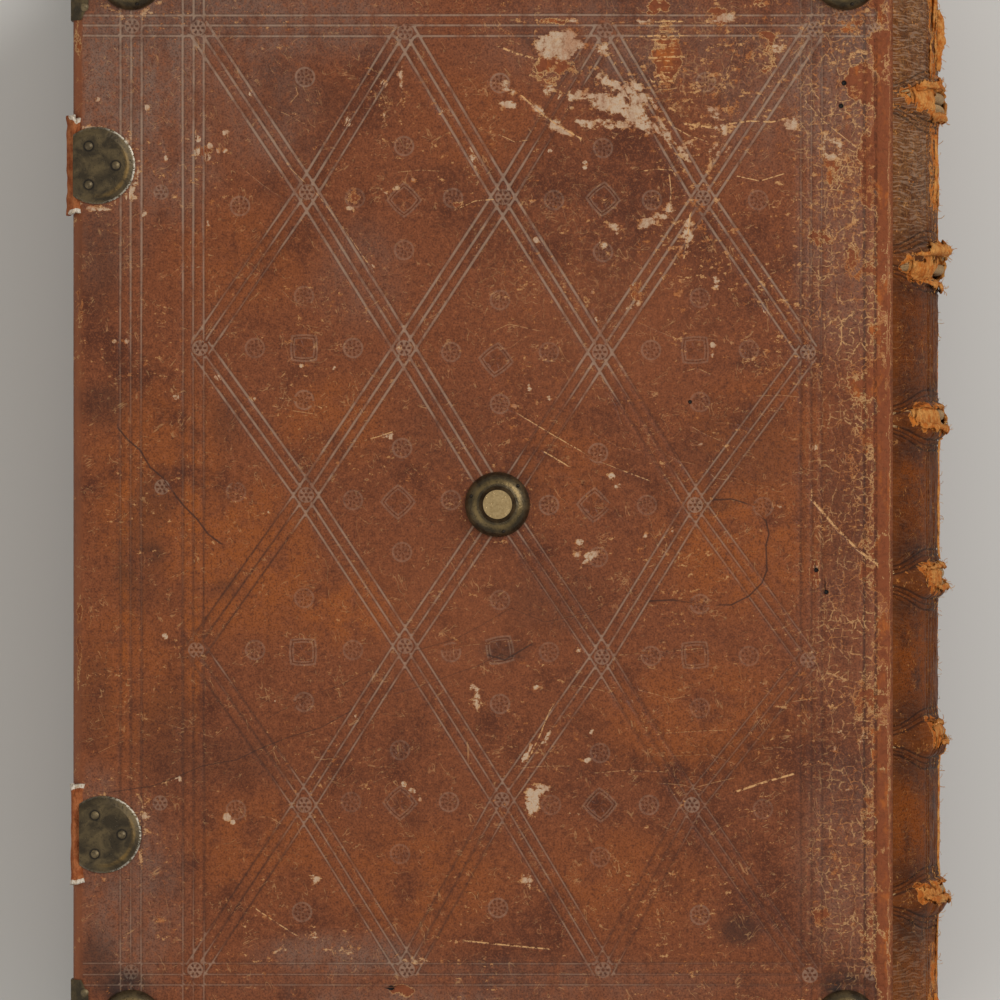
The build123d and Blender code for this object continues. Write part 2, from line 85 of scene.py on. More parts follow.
def srgb(red: int, green: int, blue: int) -> Colour:
    """Turns a colour as seen on screen into the linear colour that shaders take.

    Args:
        red: Red from 0 to 255.
        green: Green from 0 to 255.
        blue: Blue from 0 to 255.

    Returns:
        The linear colour with an alpha of 1.
    """
    parts = [(value / 255 / 12.92) if value <= 10 else ((value / 255 + 0.055) / 1.055) ** 2.4
             for value in (red, green, blue)]
    return (parts[0], parts[1], parts[2], 1.0)


def from_pixels(places: Iterable[Point]) -> np.ndarray:
    """Turns places in the photograph into millimetres on the back cover.

    Args:
        places: Pixel places, x to the right and y down.

    Returns:
        One row of x and y in millimetres for each place.
    """
    table = np.array(list(places), float)
    return np.column_stack([(table[:, 0] - PIXEL_X_AT_ORIGIN) * MM_PER_PIXEL,
                            (PIXEL_Y_AT_ORIGIN - table[:, 1]) * MM_PER_PIXEL])


def to_pixels(flat: np.ndarray) -> np.ndarray:
    """Turns places in millimetres on a cover into pixels of the photograph."""
    return np.column_stack([flat[:, 0] / MM_PER_PIXEL + PIXEL_X_AT_ORIGIN,
                            PIXEL_Y_AT_ORIGIN - flat[:, 1] / MM_PER_PIXEL])


def turned(offset: np.ndarray, degrees: float) -> np.ndarray:
    """Rows of x and y, measured along axes turned by an angle."""
    angle = radians(degrees)
    return np.column_stack([offset[:, 0] * cos(angle) + offset[:, 1] * sin(angle),
                            -offset[:, 0] * sin(angle) + offset[:, 1] * cos(angle)])


def grid_faces(rows: int, count: int) -> list[tuple[int, ...]]:
    """The faces of a grid of vertices, row after row."""
    return [(r * count + i, r * count + i + 1, (r + 1) * count + i + 1, (r + 1) * count + i)
            for r in range(rows - 1) for i in range(count - 1)]


def ease(low: float, high: float, value: np.ndarray) -> np.ndarray:
    """Rises smoothly from 0 at low to 1 at high.

    Args:
        low: Where the rise starts.
        high: Where it ends.
        value: The values to look up.

    Returns:
        The eased share for each value.
    """
    share = np.clip((value - low) / (high - low), 0, 1)
    return share * share * (3 - 2 * share)


class Side(Enum):
    """Which of the two covers a piece belongs to."""

    BACK = "back"
    FRONT = "front"


class StampKind(Enum):
    """The hand stamps used on the covers, with the number that the shader reads."""

    ROSETTE = 1
    ROUNDEL = 2
    SQUARE = 3


@dataclass
class BookSizes:
    """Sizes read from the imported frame, in millimetres."""

    fore_x: float = 0.0
    hinge_x: float = 0.0
    front_z: float = 0.0
    back_z: float = 0.0
    half_height: float = 0.0
    spine_reach: float = 0.0
    text_low: Vector = field(default_factory=Vector)
    text_high: Vector = field(default_factory=Vector)
    bands: tuple[float, ...] = ()

    @classmethod
    def from_frame(cls) -> "BookSizes":
        """Reads the sizes from the CAD nodes and the two hinges.

        Returns:
            The sizes of this book.
        """
        hinges = {joint["name"]: joint["pos_m"] for joint in frame["joints"]}
        leather_low, leather_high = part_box("back_leather")
        text_low, text_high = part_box("text_block")
        lining_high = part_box("spine_linings")[1]
        supports = [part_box(f"sewing_support_{number}") for number in range(1, 7)]
        return cls(
            fore_x=leather_low.x / MM,
            hinge_x=hinges["back_cover_hinge"][0] / MM,
            front_z=hinges["front_cover_hinge"][2] / MM,
            back_z=hinges["back_cover_hinge"][2] / MM,
            half_height=leather_high.y / MM,
            spine_reach=lining_high.x / MM + 1.25,
            text_low=text_low / MM,
            text_high=text_high / MM,
            bands=tuple((low.y + high.y) / 2 / MM for low, high in supports),
        )

    @property
    def middle_z(self) -> float:
        """Height of the middle of the text block."""
        return (self.front_z + self.back_z) / 2

    @property
    def half_thickness(self) -> float:
        """Half of the thickness between the covers' outer faces."""
        return (self.back_z - self.front_z) / 2

    @property
    def spine_radius(self) -> float:
        """Radius of the rounded spine's outer face."""
        rise = self.spine_reach - self.hinge_x
        return (self.half_thickness**2 + rise**2) / (2 * rise)

    @property
    def spine_centre_x(self) -> float:
        """X of the axis that the spine is rounded about."""
        return self.spine_reach - self.spine_radius


class Nodes:
    """Short calls for building one shader or geometry tree, with flat or solid patterns."""

    def __init__(self, tree: Tree, flat: bool = False) -> None:
        """Keeps the tree that the calls add to."""
        self.tree = tree
        self.dimensions = "2D" if flat else "3D"

    def add(self, kind: str, inputs: dict | None = None, **settings: object) -> Node:
        """Adds a node.

        Args:
            kind: The node's type name.
            inputs: Values or sockets by input name or number.
            settings: The node's own properties.

        Returns:
            The new node.
        """
        node = self.tree.nodes.new(kind)
        for name, value in settings.items():
            setattr(node, name, value)
        for name, value in (inputs or {}).items():
            self.feed(node.inputs[name], value)
        return node

    def first(self, kind: str, inputs: dict | None = None, **settings: object) -> Socket:
        """Adds a node and returns its first output."""
        return self.add(kind, inputs, **settings).outputs[0]

    def feed(self, socket: Socket, value: object) -> None:
        """Links a socket to an input, or sets the input's own value."""
        if isinstance(value, Socket):
            self.tree.links.new(value, socket)
        else:
            socket.default_value = value

    def math(self, operation: str, first: object, second: object = 0.0, clamp: bool = False) -> Socket:
        """Adds a sum of one or two values.

        Args:
            operation: The name of the sum.
            first: First value or socket.
            second: Second value or socket.
            clamp: Whether the result stays between 0 and 1.

        Returns:
            The result's socket.
        """
        return self.first("ShaderNodeMath", {0: first, 1: second}, operation=operation, use_clamp=clamp)

    def times(self, first: object, second: object, clamp: bool = False) -> Socket:
        """First times second."""
        return self.math("MULTIPLY", first, second, clamp)

    def plus(self, first: object, second: object, clamp: bool = False) -> Socket:
        """First and second together."""
        return self.math("ADD", first, second, clamp)

    def minus(self, first: object, second: object, clamp: bool = False) -> Socket:
        """First less second."""
        return self.math("SUBTRACT", first, second, clamp)

    def larger(self, first: object, second: object) -> Socket:
        """The larger of two values."""
        return self.math("MAXIMUM", first, second)

    def apart(self, first: object, second: object) -> Socket:
        """How far apart two values are."""
        return self.math("ABSOLUTE", self.minus(first, second))

    def span(self, value: Socket, low: float, high: float, start: float = 0.0, end: float = 1.0) -> Socket:
        """Eases a value from start to end while it goes from low to high."""
        node = self.add("ShaderNodeMapRange", interpolation_type="SMOOTHSTEP")
        names = ("Value", "From Min", "From Max", "To Min", "To Max")
        for name, number in zip(names, (value, low, high, start, end)):
            self.feed(node.inputs[name], number)
        return node.outputs["Result"]

    def mix(self, share: object, first: object, second: object) -> Socket:
        """Mixes two colours."""
        return self.add("ShaderNodeMix", {0: share, 6: first, 7: second}, data_type="RGBA").outputs[2]

    def layer(self, base: Socket, colour: object, *shares: object) -> Socket:
        """Lays a colour over another, as strongly as its shares multiplied."""
        share = shares[0]
        for other in shares[1:]:
            share = self.times(share, other)
        return self.mix(share, base, colour)

    def mask(self, name: str) -> Node:
        """Adds a mask painted on the mesh."""
        return self.add("ShaderNodeAttribute", attribute_name=name)

    def level_share(self) -> Socket:
        """How level the surface lies, from 0 for upright to 1."""
        normal = self.add("ShaderNodeNewGeometry").outputs["Normal"]
        return self.math("ABSOLUTE", self.split(normal)[2])

    def surface(self, shader: Node, base: Socket, rough: object, rise: Socket, strength: float, depth: float,
                shine: float = 0.5) -> None:
        """Gives a shader its surface.

        Args:
            shader: The shader node.
            base: Its colour.
            rough: Its roughness, as a value or socket.
            rise: Height of the relief.
            strength: Strength of the relief.
            depth: Depth of the relief in metres.
            shine: Level of the plain reflection.
        """
        bump = self.first("ShaderNodeBump", {"Height": rise, "Strength": strength, "Distance": depth})
        values = {"Base Color": base, "Roughness": rough, "Specular IOR Level": shine, "Normal": bump}
        for name, value in values.items():
            self.feed(shader.inputs[name], value)

    def noise(self, vector: Socket, scale: object, detail: float = 4.0, rough: float = 0.5,
              bend: float = 0.0, output: str = "Fac") -> Socket:
        """Adds a cloudy pattern.

        Args:
            vector: The pattern's coordinates.
            scale: Size of the pattern, higher for finer.
            detail: How many finer layers are added.
            rough: How strong the finer layers are.
            bend: How far the pattern is bent by itself.
            output: Which of the node's outputs is wanted.

        Returns:
            The pattern's socket.
        """
        values = {"Vector": vector, "Scale": scale, "Detail": detail, "Roughness": rough, "Distortion": bend}
        return self.add("ShaderNodeTexNoise", values, noise_dimensions=self.dimensions).outputs[output]

    def stretch(self, vector: Socket, x: float, y: float, z: float) -> Socket:
        """Scales a pattern's coordinates along each axis."""
        return self.first("ShaderNodeVectorMath", {0: vector, 1: (x, y, z)}, operation="MULTIPLY")

    def warp(self, vector: Socket, scale: float, reach: float) -> Socket:
        """Pushes a pattern's coordinates about by a noise, so that its lines wander."""
        push = self.noise(vector, scale, 2.0, output="Color")
        shift = self.first("ShaderNodeVectorMath", {0: push, "Scale": reach}, operation="SCALE")
        return self.first("ShaderNodeVectorMath", {0: vector, 1: shift}, operation="ADD")

    def cracks(self, vector: Socket, scale: float, randomness: float = 1.0) -> Socket:
        """Adds the distance to the nearest edge of a net of cells."""
        values = {"Vector": vector, "Scale": scale, "Randomness": randomness}
        return self.add("ShaderNodeTexVoronoi", values, feature="DISTANCE_TO_EDGE",
                        voronoi_dimensions=self.dimensions).outputs["Distance"]

    def cells(self, vector: Socket, scale: object) -> Socket:
        """Adds cells and returns the distance to each cell's middle."""
        values = {"Vector": vector, "Scale": scale}
        return self.add("ShaderNodeTexVoronoi", values,
                        voronoi_dimensions=self.dimensions).outputs["Distance"]

    def group(self, tree: Tree, **inputs: object) -> Node:
        """Places a node group with its own values."""
        return self.add("ShaderNodeGroup", inputs, node_tree=tree)

    def combine(self, x: object = 0.0, y: object = 0.0, z: object = 0.0) -> Socket:
        """Makes a vector of three values."""
        return self.first("ShaderNodeCombineXYZ", {"X": x, "Y": y, "Z": z})

    def split(self, vector: Socket) -> Sequence[Socket]:
        """The three parts of a vector."""
        return self.add("ShaderNodeSeparateXYZ", {"Vector": vector}).outputs

    def scatter(self, points: Socket, instance: Socket, **more: object) -> Socket:
        """Puts one instance on each point."""
        return self.first("GeometryNodeInstanceOnPoints", {"Points": points, "Instance": instance, **more})

    def real(self, instances: Socket) -> Socket:
        """Turns instances into mesh of their own."""
        return self.first("GeometryNodeRealizeInstances", {"Geometry": instances})

    def finish(self, result: Node, geometry: Socket, material: Socket) -> None:
        """Ends a geometry tree with one material."""
        coloured = self.first("GeometryNodeSetMaterial", {"Geometry": geometry, "Material": material})
        self.feed(result.inputs["Geometry"], coloured)


def new_group(name: str, inputs: dict[str, str], outputs: dict[str, str]) -> tuple:
    """Starts a shader node group with flat patterns.

    Args:
        name: The group's name.
        inputs: Kind of socket by input name.
        outputs: Kind of socket by output name.

    Returns:
        The builder, the group's inputs and its output node.
    """
    tree = bpy.data.node_groups.new(name, "ShaderNodeTree")
    for label, kind in inputs.items():
        tree.interface.new_socket(name=label, in_out="INPUT", socket_type=kind)
    for label, kind in outputs.items():
        tree.interface.new_socket(name=label, in_out="OUTPUT", socket_type=kind)
    nodes = Nodes(tree, flat=True)
    return nodes, nodes.add("NodeGroupInput").outputs, nodes.add("NodeGroupOutput")


class SharedEffects:
    """Shader node groups that the leather finishes share."""

    def __init__(self) -> None:
        """Builds each group once."""
        self.grain = self.build_grain()
        self.flaking = self.build_flaking()
        self.crackle = self.build_crackle()
        self.stamps = self.build_stamps()
        self.scratches = self.build_scratches()

    @staticmethod
    def build_grain() -> Tree:
        """Leather grain: fine pebbles with soft creases."""
        nodes, given, result = new_group("hide_grain", {"Vector": VECTOR, "Scale": FLOAT}, {"Height": FLOAT})
        cloud = nodes.noise(given["Vector"], given["Scale"], 3.0, 0.65)
        pebble = nodes.cells(given["Vector"], given["Scale"])
        nodes.feed(result.inputs["Height"], nodes.minus(cloud, nodes.times(pebble, 0.5)))
        return nodes.tree

    @staticmethod
    def build_flaking() -> Tree:
        """Ragged patches where a mask is high, with a rim round each."""
        nodes, given, result = new_group(
            "flaking", {"Vector": VECTOR, "Mask": FLOAT, "Scale": FLOAT, "Spread": FLOAT},
            {"Patch": FLOAT, "Rim": FLOAT, "Fringe": FLOAT})
        cloud = nodes.noise(given["Vector"], given["Scale"], 6.0, 0.74)
        ragged = nodes.times(nodes.minus(cloud, 0.5), given["Spread"])
        level = nodes.plus(given["Mask"], ragged)
        nodes.feed(result.inputs["Patch"], nodes.span(level, 0.485, 0.525))
        rim = nodes.times(nodes.span(level, 0.455, 0.49), nodes.span(level, 0.505, 0.545, 1.0, 0.0))
        nodes.feed(result.inputs["Rim"], rim)
        nodes.feed(result.inputs["Fringe"], nodes.span(level, 0.38, 0.47))
        return nodes.tree

    @staticmethod
    def build_crackle() -> Tree:
        """A net of fine splits in the hide: small blocks, with longer splits up and across."""
        nodes, given, result = new_group("crackle", {"Vector": VECTOR, "Mask": FLOAT},
                                         {"Line": FLOAT, "Deep": FLOAT})
        vector, mask = given["Vector"], given["Mask"]
        moved = nodes.warp(vector, 420.0, 0.0016)
        blocks = nodes.cracks(nodes.stretch(moved, 0.75, 1.0, 1.0), 330.0, 0.75)
        coarse = nodes.cracks(nodes.stretch(moved, 1.35, 0.6, 1.0), 120.0, 0.9)
        patchy = nodes.noise(vector, 95.0, 4.0, 0.62)
        shown = nodes.times(mask, nodes.span(patchy, 0.40, 0.56), clamp=True)
        broken = nodes.span(nodes.noise(vector, 520.0, 2.0, 0.6), 0.36, 0.58)
        small = nodes.times(nodes.span(blocks, 0.02, 0.10, 1.0, 0.0), shown)
        long = nodes.times(nodes.span(coarse, 0.006, 0.035, 1.0, 0.0), mask)
        nodes.feed(result.inputs["Line"], nodes.times(nodes.larger(small, long), broken))
        nodes.feed(result.inputs["Deep"], nodes.times(long, broken))
        return nodes.tree

    @staticmethod
    def build_stamps() -> Tree:
        """Petals, rings and squares of the hand stamps, in each stamp's own coordinates."""
        nodes, given, result = new_group("hand_stamps", {"Local": VECTOR}, {"Ridge": FLOAT, "Hollow": FLOAT})
        across, along, kind = nodes.split(given["Local"])
        square_sum = nodes.plus(nodes.times(across, across), nodes.times(along, along))
        reach = nodes.math("SQRT", square_sum)
        angle = nodes.math("ARCTAN2", along, across)

        def band(value: Socket, centre: float, half: float) -> Socket:
            """1 where a value lies within half of centre, with soft sides."""
            gap = nodes.apart(value, centre)
            return nodes.span(gap, half * 0.35, half, 1.0, 0.0)

        def dots(count: float, centre: float, half: float) -> Socket:
            """A ring of holes about the stamp's middle."""
            wave = nodes.span(nodes.math("COSINE", nodes.times(angle, count)), -0.1, 0.6)
            return nodes.times(wave, band(reach, centre, half))

        def chosen(sort: StampKind, value: Socket) -> Socket:
            """Keeps a value only on one kind of stamp."""
            gap = nodes.apart(kind, float(sort.value))
            return nodes.times(value, nodes.math("LESS_THAN", gap, 0.4))

        rosette_holes = nodes.larger(dots(6.0, 0.58, 0.30), nodes.span(reach, 0.12, 0.26, 1.0, 0.0))
        rosette_ridge = nodes.minus(nodes.span(reach, 0.90, 1.02, 1.0, 0.0), rosette_holes, clamp=True)
        roundel_holes = nodes.larger(dots(9.0, 0.68, 0.17), dots(5.0, 0.30, 0.2))
        disc = nodes.span(reach, 0.92, 1.0, 0.45, 0.0)
        ring = nodes.larger(disc, band(reach, 0.92, 0.16))
        roundel_ridge = nodes.minus(ring, roundel_holes, clamp=True)
        square = nodes.larger(nodes.math("ABSOLUTE", across), nodes.math("ABSOLUTE", along))
        rounded = nodes.plus(nodes.times(square, 0.72), nodes.times(reach, 0.22))
        square_lines = nodes.larger(band(rounded, 0.90, 0.10), band(rounded, 0.70, 0.07))
        flower = nodes.times(dots(4.0, 0.42, 0.34), nodes.span(square, 0.6, 0.7, 1.0, 0.0))
        square_holes = nodes.larger(flower, band(rounded, 0.80, 0.05))
        for name, three in (("Ridge", (rosette_ridge, roundel_ridge, square_lines)),
                            ("Hollow", (rosette_holes, roundel_holes, square_holes))):
            rosette, roundel, lozenge = (chosen(sort, value) for sort, value in zip(StampKind, three))
            nodes.feed(result.inputs[name], nodes.larger(nodes.larger(rosette, roundel), lozenge))
        return nodes.tree

    @staticmethod
    def build_scratches() -> Tree:
        """Short fine scratches and scrapes, gathered in patches."""
        nodes, given, result = new_group("scratches", {"Vector": VECTOR, "Amount": FLOAT}, {"Line": FLOAT})
        best = None
        for turn, scale, seed in ((8.0, 62.0, 0.0), (-32.0, 48.0, 0.31), (68.0, 40.0, 0.63)):
            values = {"Vector": given["Vector"], "Location": (seed, seed, 0.0),
                      "Rotation": (0.0, 0.0, radians(turn))}
            place = nodes.first("ShaderNodeMapping", values)
            ridge = nodes.noise(nodes.stretch(place, 1.0, 3.2, 1.0), scale, 3.0, 0.6, 0.25)
            gap = nodes.apart(ridge, 0.5)
            where = nodes.span(nodes.noise(place, 80.0 + scale, 2.0, 0.6), 0.56, 0.66)
            line = nodes.times(nodes.span(gap, 0.001, 0.010, 1.0, 0.0), where)
            best = line if best is None else nodes.larger(best, line)
        nodes.feed(result.inputs["Line"], nodes.times(best, given["Amount"], clamp=True))
        return nodes.tree


def new_material(name: str, flat: bool = False) -> tuple[Material, Nodes, Node]:
    """Starts a material with its shader.

    Args:
        name: The material's name.
        flat: Whether its patterns are flat ones.

    Returns:
        The material, a builder for its tree, and the shader node.
    """
    material = bpy.data.materials.new(name)
    material.use_nodes = True
    tree = material.node_tree
    tree.nodes.clear()
    nodes = Nodes(tree, flat)
    shader = nodes.add("ShaderNodeBsdfPrincipled")
    nodes.add("ShaderNodeOutputMaterial", {"Surface": shader.outputs["BSDF"]})
    return material, nodes, shader


@dataclass(frozen=True)
class LeatherFinish:
    """Tanned, tooled and worn calf. Its wear follows attributes painted on the mesh."""

    name: str
    deep: Colour = srgb(78, 37, 18)
    body: Colour = srgb(117, 62, 32)
    warm: Colour = srgb(150, 78, 20)
    # grey film: dust, with a painted sheen of reflected light
    dust_and_sheen: Colour = srgb(118, 96, 83)
    rubbed: Colour = srgb(142, 80, 46)
    line: Colour = srgb(158, 133, 112)
    dark_line: Colour = srgb(54, 31, 22)
    tan: Colour = srgb(202, 154, 102)
    flesh: Colour = srgb(124, 64, 34)
    orange: Colour = srgb(164, 88, 34)
    pale: Colour = srgb(184, 166, 144)
    patch_scale: float = 105.0
    grain_scale: float = 900.0
    shine: float = 0.22
    wrinkle: float = 0.0

    def build(self, shared: SharedEffects) -> Material:
        """Builds the material.

        Args:
            shared: The shared node groups.

        Returns:
            The finished material.
        """
        material, nodes, shader = new_material(self.name, flat=True)
        place = nodes.mask("flat").outputs["Vector"]
        painted_on = [nodes.mask(name) for name in ("tooling", "wear", "tint", "scars")]
        parts = [nodes.add("ShaderNodeSeparateColor", {"Color": mask.outputs["Color"]}).outputs
                 for mask in painted_on]
        darkening = painted_on[1].outputs["Alpha"]
        line, dark_line, stamp_fade = parts[0]
        scuff, flake, crackle = parts[1]
        warm, dust_and_sheen, rubbed = parts[2]
        scratch, crack, hole = parts[3]

        blotch = nodes.noise(place, 15.0, 4.0, 0.6, 0.5)
        cloud = nodes.noise(place, 75.0, 5.0, 0.66)
        speckle = nodes.noise(place, 480.0, 3.0, 0.72)
        grit = nodes.noise(place, 1500.0, 2.0, 0.7)
        mottle = nodes.plus(nodes.times(blotch, 0.6), nodes.times(cloud, 0.4))
        base = nodes.mix(nodes.span(mottle, 0.31, 0.54), self.deep, self.body)
        warmth = nodes.times(warm, nodes.span(cloud, 0.28, 0.62), clamp=True)
        base = nodes.layer(base, self.warm, warmth)
        haze = nodes.noise(nodes.stretch(place, 1.0, 0.45, 1.0), 130.0, 5.0, 0.7)
        # grey film over the colour: dust, with a painted sheen of reflected light
        dust_and_sheen_share = nodes.times(dust_and_sheen, nodes.span(haze, 0.30, 0.66, 0.35, 1.0), clamp=True)
        base = nodes.layer(base, self.dust_and_sheen, dust_and_sheen_share)
        base = nodes.layer(base, self.deep, nodes.span(cloud, 0.56, 0.76), 0.22)
        base = nodes.layer(base, self.rubbed, nodes.span(speckle, 0.50, 0.70, 0.0, 0.50))
        base = nodes.layer(base, self.deep, nodes.span(speckle, 0.30, 0.47, 0.60, 0.0))
        base = nodes.layer(base, self.deep, nodes.span(grit, 0.50, 0.70, 0.0, 0.70))
        base = nodes.layer(base, self.rubbed, nodes.span(grit, 0.30, 0.46, 0.45, 0.0))
        worn_edge = nodes.times(rubbed, nodes.span(cloud, 0.30, 0.55, 0.6, 1.0), clamp=True)
        base = nodes.layer(base, self.rubbed, worn_edge)
        # darker where the wear mask's alpha is high: the cover's stains and edges, the spine's middle and the
        # feet of its bands
        dark = nodes.times(darkening, nodes.span(cloud, 0.30, 0.56, 0.45, 1.0), clamp=True)
        base = nodes.layer(base, srgb(34, 24, 20), dark)
        if self.wrinkle:
            drawn = nodes.stretch(nodes.warp(place, 60.0, 0.005), 0.09, 1.0, 1.0)
            folds = nodes.noise(drawn, 1500.0, 2.0, 0.6)
            shown = nodes.times(nodes.plus(dust_and_sheen, 0.10, clamp=True), self.wrinkle)
            base = nodes.layer(base, self.line, nodes.span(folds, 0.50, 0.64), shown)
            base = nodes.layer(base, self.deep, nodes.span(folds, 0.36, 0.47, 1.0, 0.0), shown)

        broken = nodes.span(haze, 0.28, 0.60, 0.20, 1.0)
        light = nodes.times(nodes.span(line, 0.34, 0.80), broken)
        # painted shade along both sides of each tooled groove
        groove_shade = nodes.times(nodes.span(line, 0.02, 0.30, 0.0, 0.30), nodes.span(line, 0.3, 0.6, 1.0, 0.4))
        base = nodes.layer(base, self.dark_line, groove_shade)
        base = nodes.layer(base, self.line, light, 0.62)
        base = nodes.layer(base, self.dark_line, nodes.span(dark_line, 0.25, 0.85), 0.62)
        stamp = nodes.group(shared.stamps, Local=nodes.mask("stamp").outputs["Vector"])
        faded = nodes.times(stamp_fade, nodes.span(speckle, 0.30, 0.56, 0.45, 1.0))
        stamp_dark = nodes.times(stamp.outputs["Hollow"], faded)
        base = nodes.layer(base, self.dark_line, stamp_dark, 0.52)
        stamp_light = nodes.times(stamp.outputs["Ridge"], faded)
        base = nodes.layer(base, self.line, stamp_light, 0.44)

        net = nodes.group(shared.crackle, Vector=place, Mask=crackle)
        split = nodes.mix(nodes.span(cloud, 0.40, 0.56, 0.30, 1.0), self.orange, self.tan)
        base = nodes.layer(base, split, net.outputs["Line"], 0.72)
        marks = nodes.group(shared.scratches, Vector=place, Amount=nodes.plus(0.45, scuff, clamp=True))
        base = nodes.layer(base, self.tan, marks.outputs["Line"], 0.55)
        flakes = nodes.group(shared.flaking, Vector=place, Mask=flake, Scale=self.patch_scale, Spread=1.3)
        bared = nodes.mix(nodes.span(haze, 0.50, 0.72), self.flesh, self.orange)
        bared = nodes.layer(bared, self.deep, nodes.span(speckle, 0.34, 0.52, 0.35, 0.0))
        base = nodes.layer(base, bared, flakes.outputs["Patch"], 0.92)
        base = nodes.layer(base, split, flakes.outputs["Rim"], 0.88)
        trodden = nodes.times(nodes.span(dark_line, 0.10, 0.36), nodes.span(speckle, 0.44, 0.53))
        trodden = nodes.times(trodden, nodes.span(flake, 0.28, 0.48, 0.0, 0.72))
        base = nodes.layer(base, self.deep, trodden)
        streaked = nodes.stretch(place, 0.7, 1.5, 1.0)
        flecked = nodes.plus(scuff, nodes.times(nodes.minus(speckle, 0.5), 0.8))
        scuffs = nodes.group(shared.flaking, Vector=streaked, Mask=flecked, Scale=230.0, Spread=1.5)
        core = nodes.times(scuffs.outputs["Patch"], nodes.span(scuff, 0.2, 0.6, 0.75, 0.95))
        bleached = nodes.times(nodes.span(scuff, 0.34, 0.58), nodes.span(haze, 0.30, 0.56, 0.45, 1.0))
        worn_through = nodes.mix(nodes.span(haze, 0.38, 0.56, 0.25, 1.0), self.orange, self.tan)
        worn_through = nodes.layer(worn_through, self.pale, bleached)
        worn_through = nodes.layer(worn_through, self.rubbed, nodes.span(grit, 0.50, 0.66, 0.0, 0.42))
        fringe = nodes.times(scuffs.outputs["Fringe"], nodes.span(scuff, 0.42, 0.56))
        fringe = nodes.times(fringe, nodes.span(haze, 0.36, 0.56, 0.15, 0.9))
        base = nodes.layer(base, nodes.mix(nodes.span(grit, 0.36, 0.56), self.orange, self.tan), fringe)
        base = nodes.layer(base, self.orange, scuffs.outputs["Rim"], 0.5)
        base = nodes.layer(base, worn_through, core, nodes.span(speckle, 0.30, 0.55, 0.4, 0.85))
        gone = nodes.times(nodes.span(scratch, 0.25, 0.7), nodes.span(speckle, 0.40, 0.56))
        base = nodes.layer(base, self.tan, gone)
        base = nodes.layer(base, self.dark_line, nodes.span(crack, 0.25, 0.8, 0.0, 0.8))
        # wormholes: near-black painted shade in place of real holes
        base = nodes.layer(base, srgb(16, 11, 9), nodes.span(hole, 0.35, 0.6))

        bare = nodes.larger(flakes.outputs["Patch"], scuffs.outputs["Patch"])
        sheen = nodes.span(cloud, 0.3, 0.7, 0.40, 0.60)
        rough = nodes.add("ShaderNodeMix", {0: bare, 2: sheen, 3: 0.75}, data_type="FLOAT").outputs[0]
        grain = nodes.group(shared.grain, Vector=place, Scale=self.grain_scale).outputs["Height"]
        height = nodes.times(grain, 0.16)
        for part, share in ((flakes.outputs["Patch"], -0.55), (scuffs.outputs["Patch"], -0.35),
                            (net.outputs["Line"], -0.40), (stamp.outputs["Hollow"], -0.40), (cloud, 0.5),
                            (speckle, 0.22), (scratch, -0.3), (hole, -2.0)):
            height = nodes.plus(height, nodes.times(part, share))
        nodes.surface(shader, base, rough, height, 0.6, 0.0007, self.shine)
        return material


@dataclass(frozen=True)
class SuedeFinish:
    """The torn, fibrous flesh side of the hide."""

    name: str = "torn_hide"
    orange: Colour = srgb(186, 102, 36)
    tan: Colour = srgb(214, 150, 80)
    dark: Colour = srgb(96, 50, 22)
    tawed_level: float = 0.0

    def build(self) -> Material:
        """Builds the material."""
        material, nodes, shader = new_material(self.name)
        place = nodes.add("ShaderNodeTexCoord").outputs["Object"]
        cloud = nodes.noise(place, 300.0, 5.0, 0.7)
        fibre = nodes.noise(nodes.stretch(place, 1.0, 0.35, 2.2), 900.0, 4.0, 0.7, 0.4)
        base = nodes.mix(nodes.span(cloud, 0.36, 0.64), self.orange, self.tan)
        base = nodes.layer(base, self.dark, nodes.span(fibre, 0.50, 0.72, 0.0, 0.7))
        if self.tawed_level:
            pale = nodes.mask("tawed").outputs["Fac"]
            white = nodes.mix(nodes.span(fibre, 0.4, 0.7), srgb(226, 214, 196), srgb(176, 150, 120))
            level = nodes.plus(pale, nodes.times(nodes.minus(cloud, 0.5), 0.9))
            base = nodes.layer(base, white, nodes.span(level, self.tawed_level, self.tawed_level + 0.08))
        nodes.surface(shader, base, 0.92, nodes.plus(fibre, cloud), 0.9, 0.0012, shine=0.15)
        return material


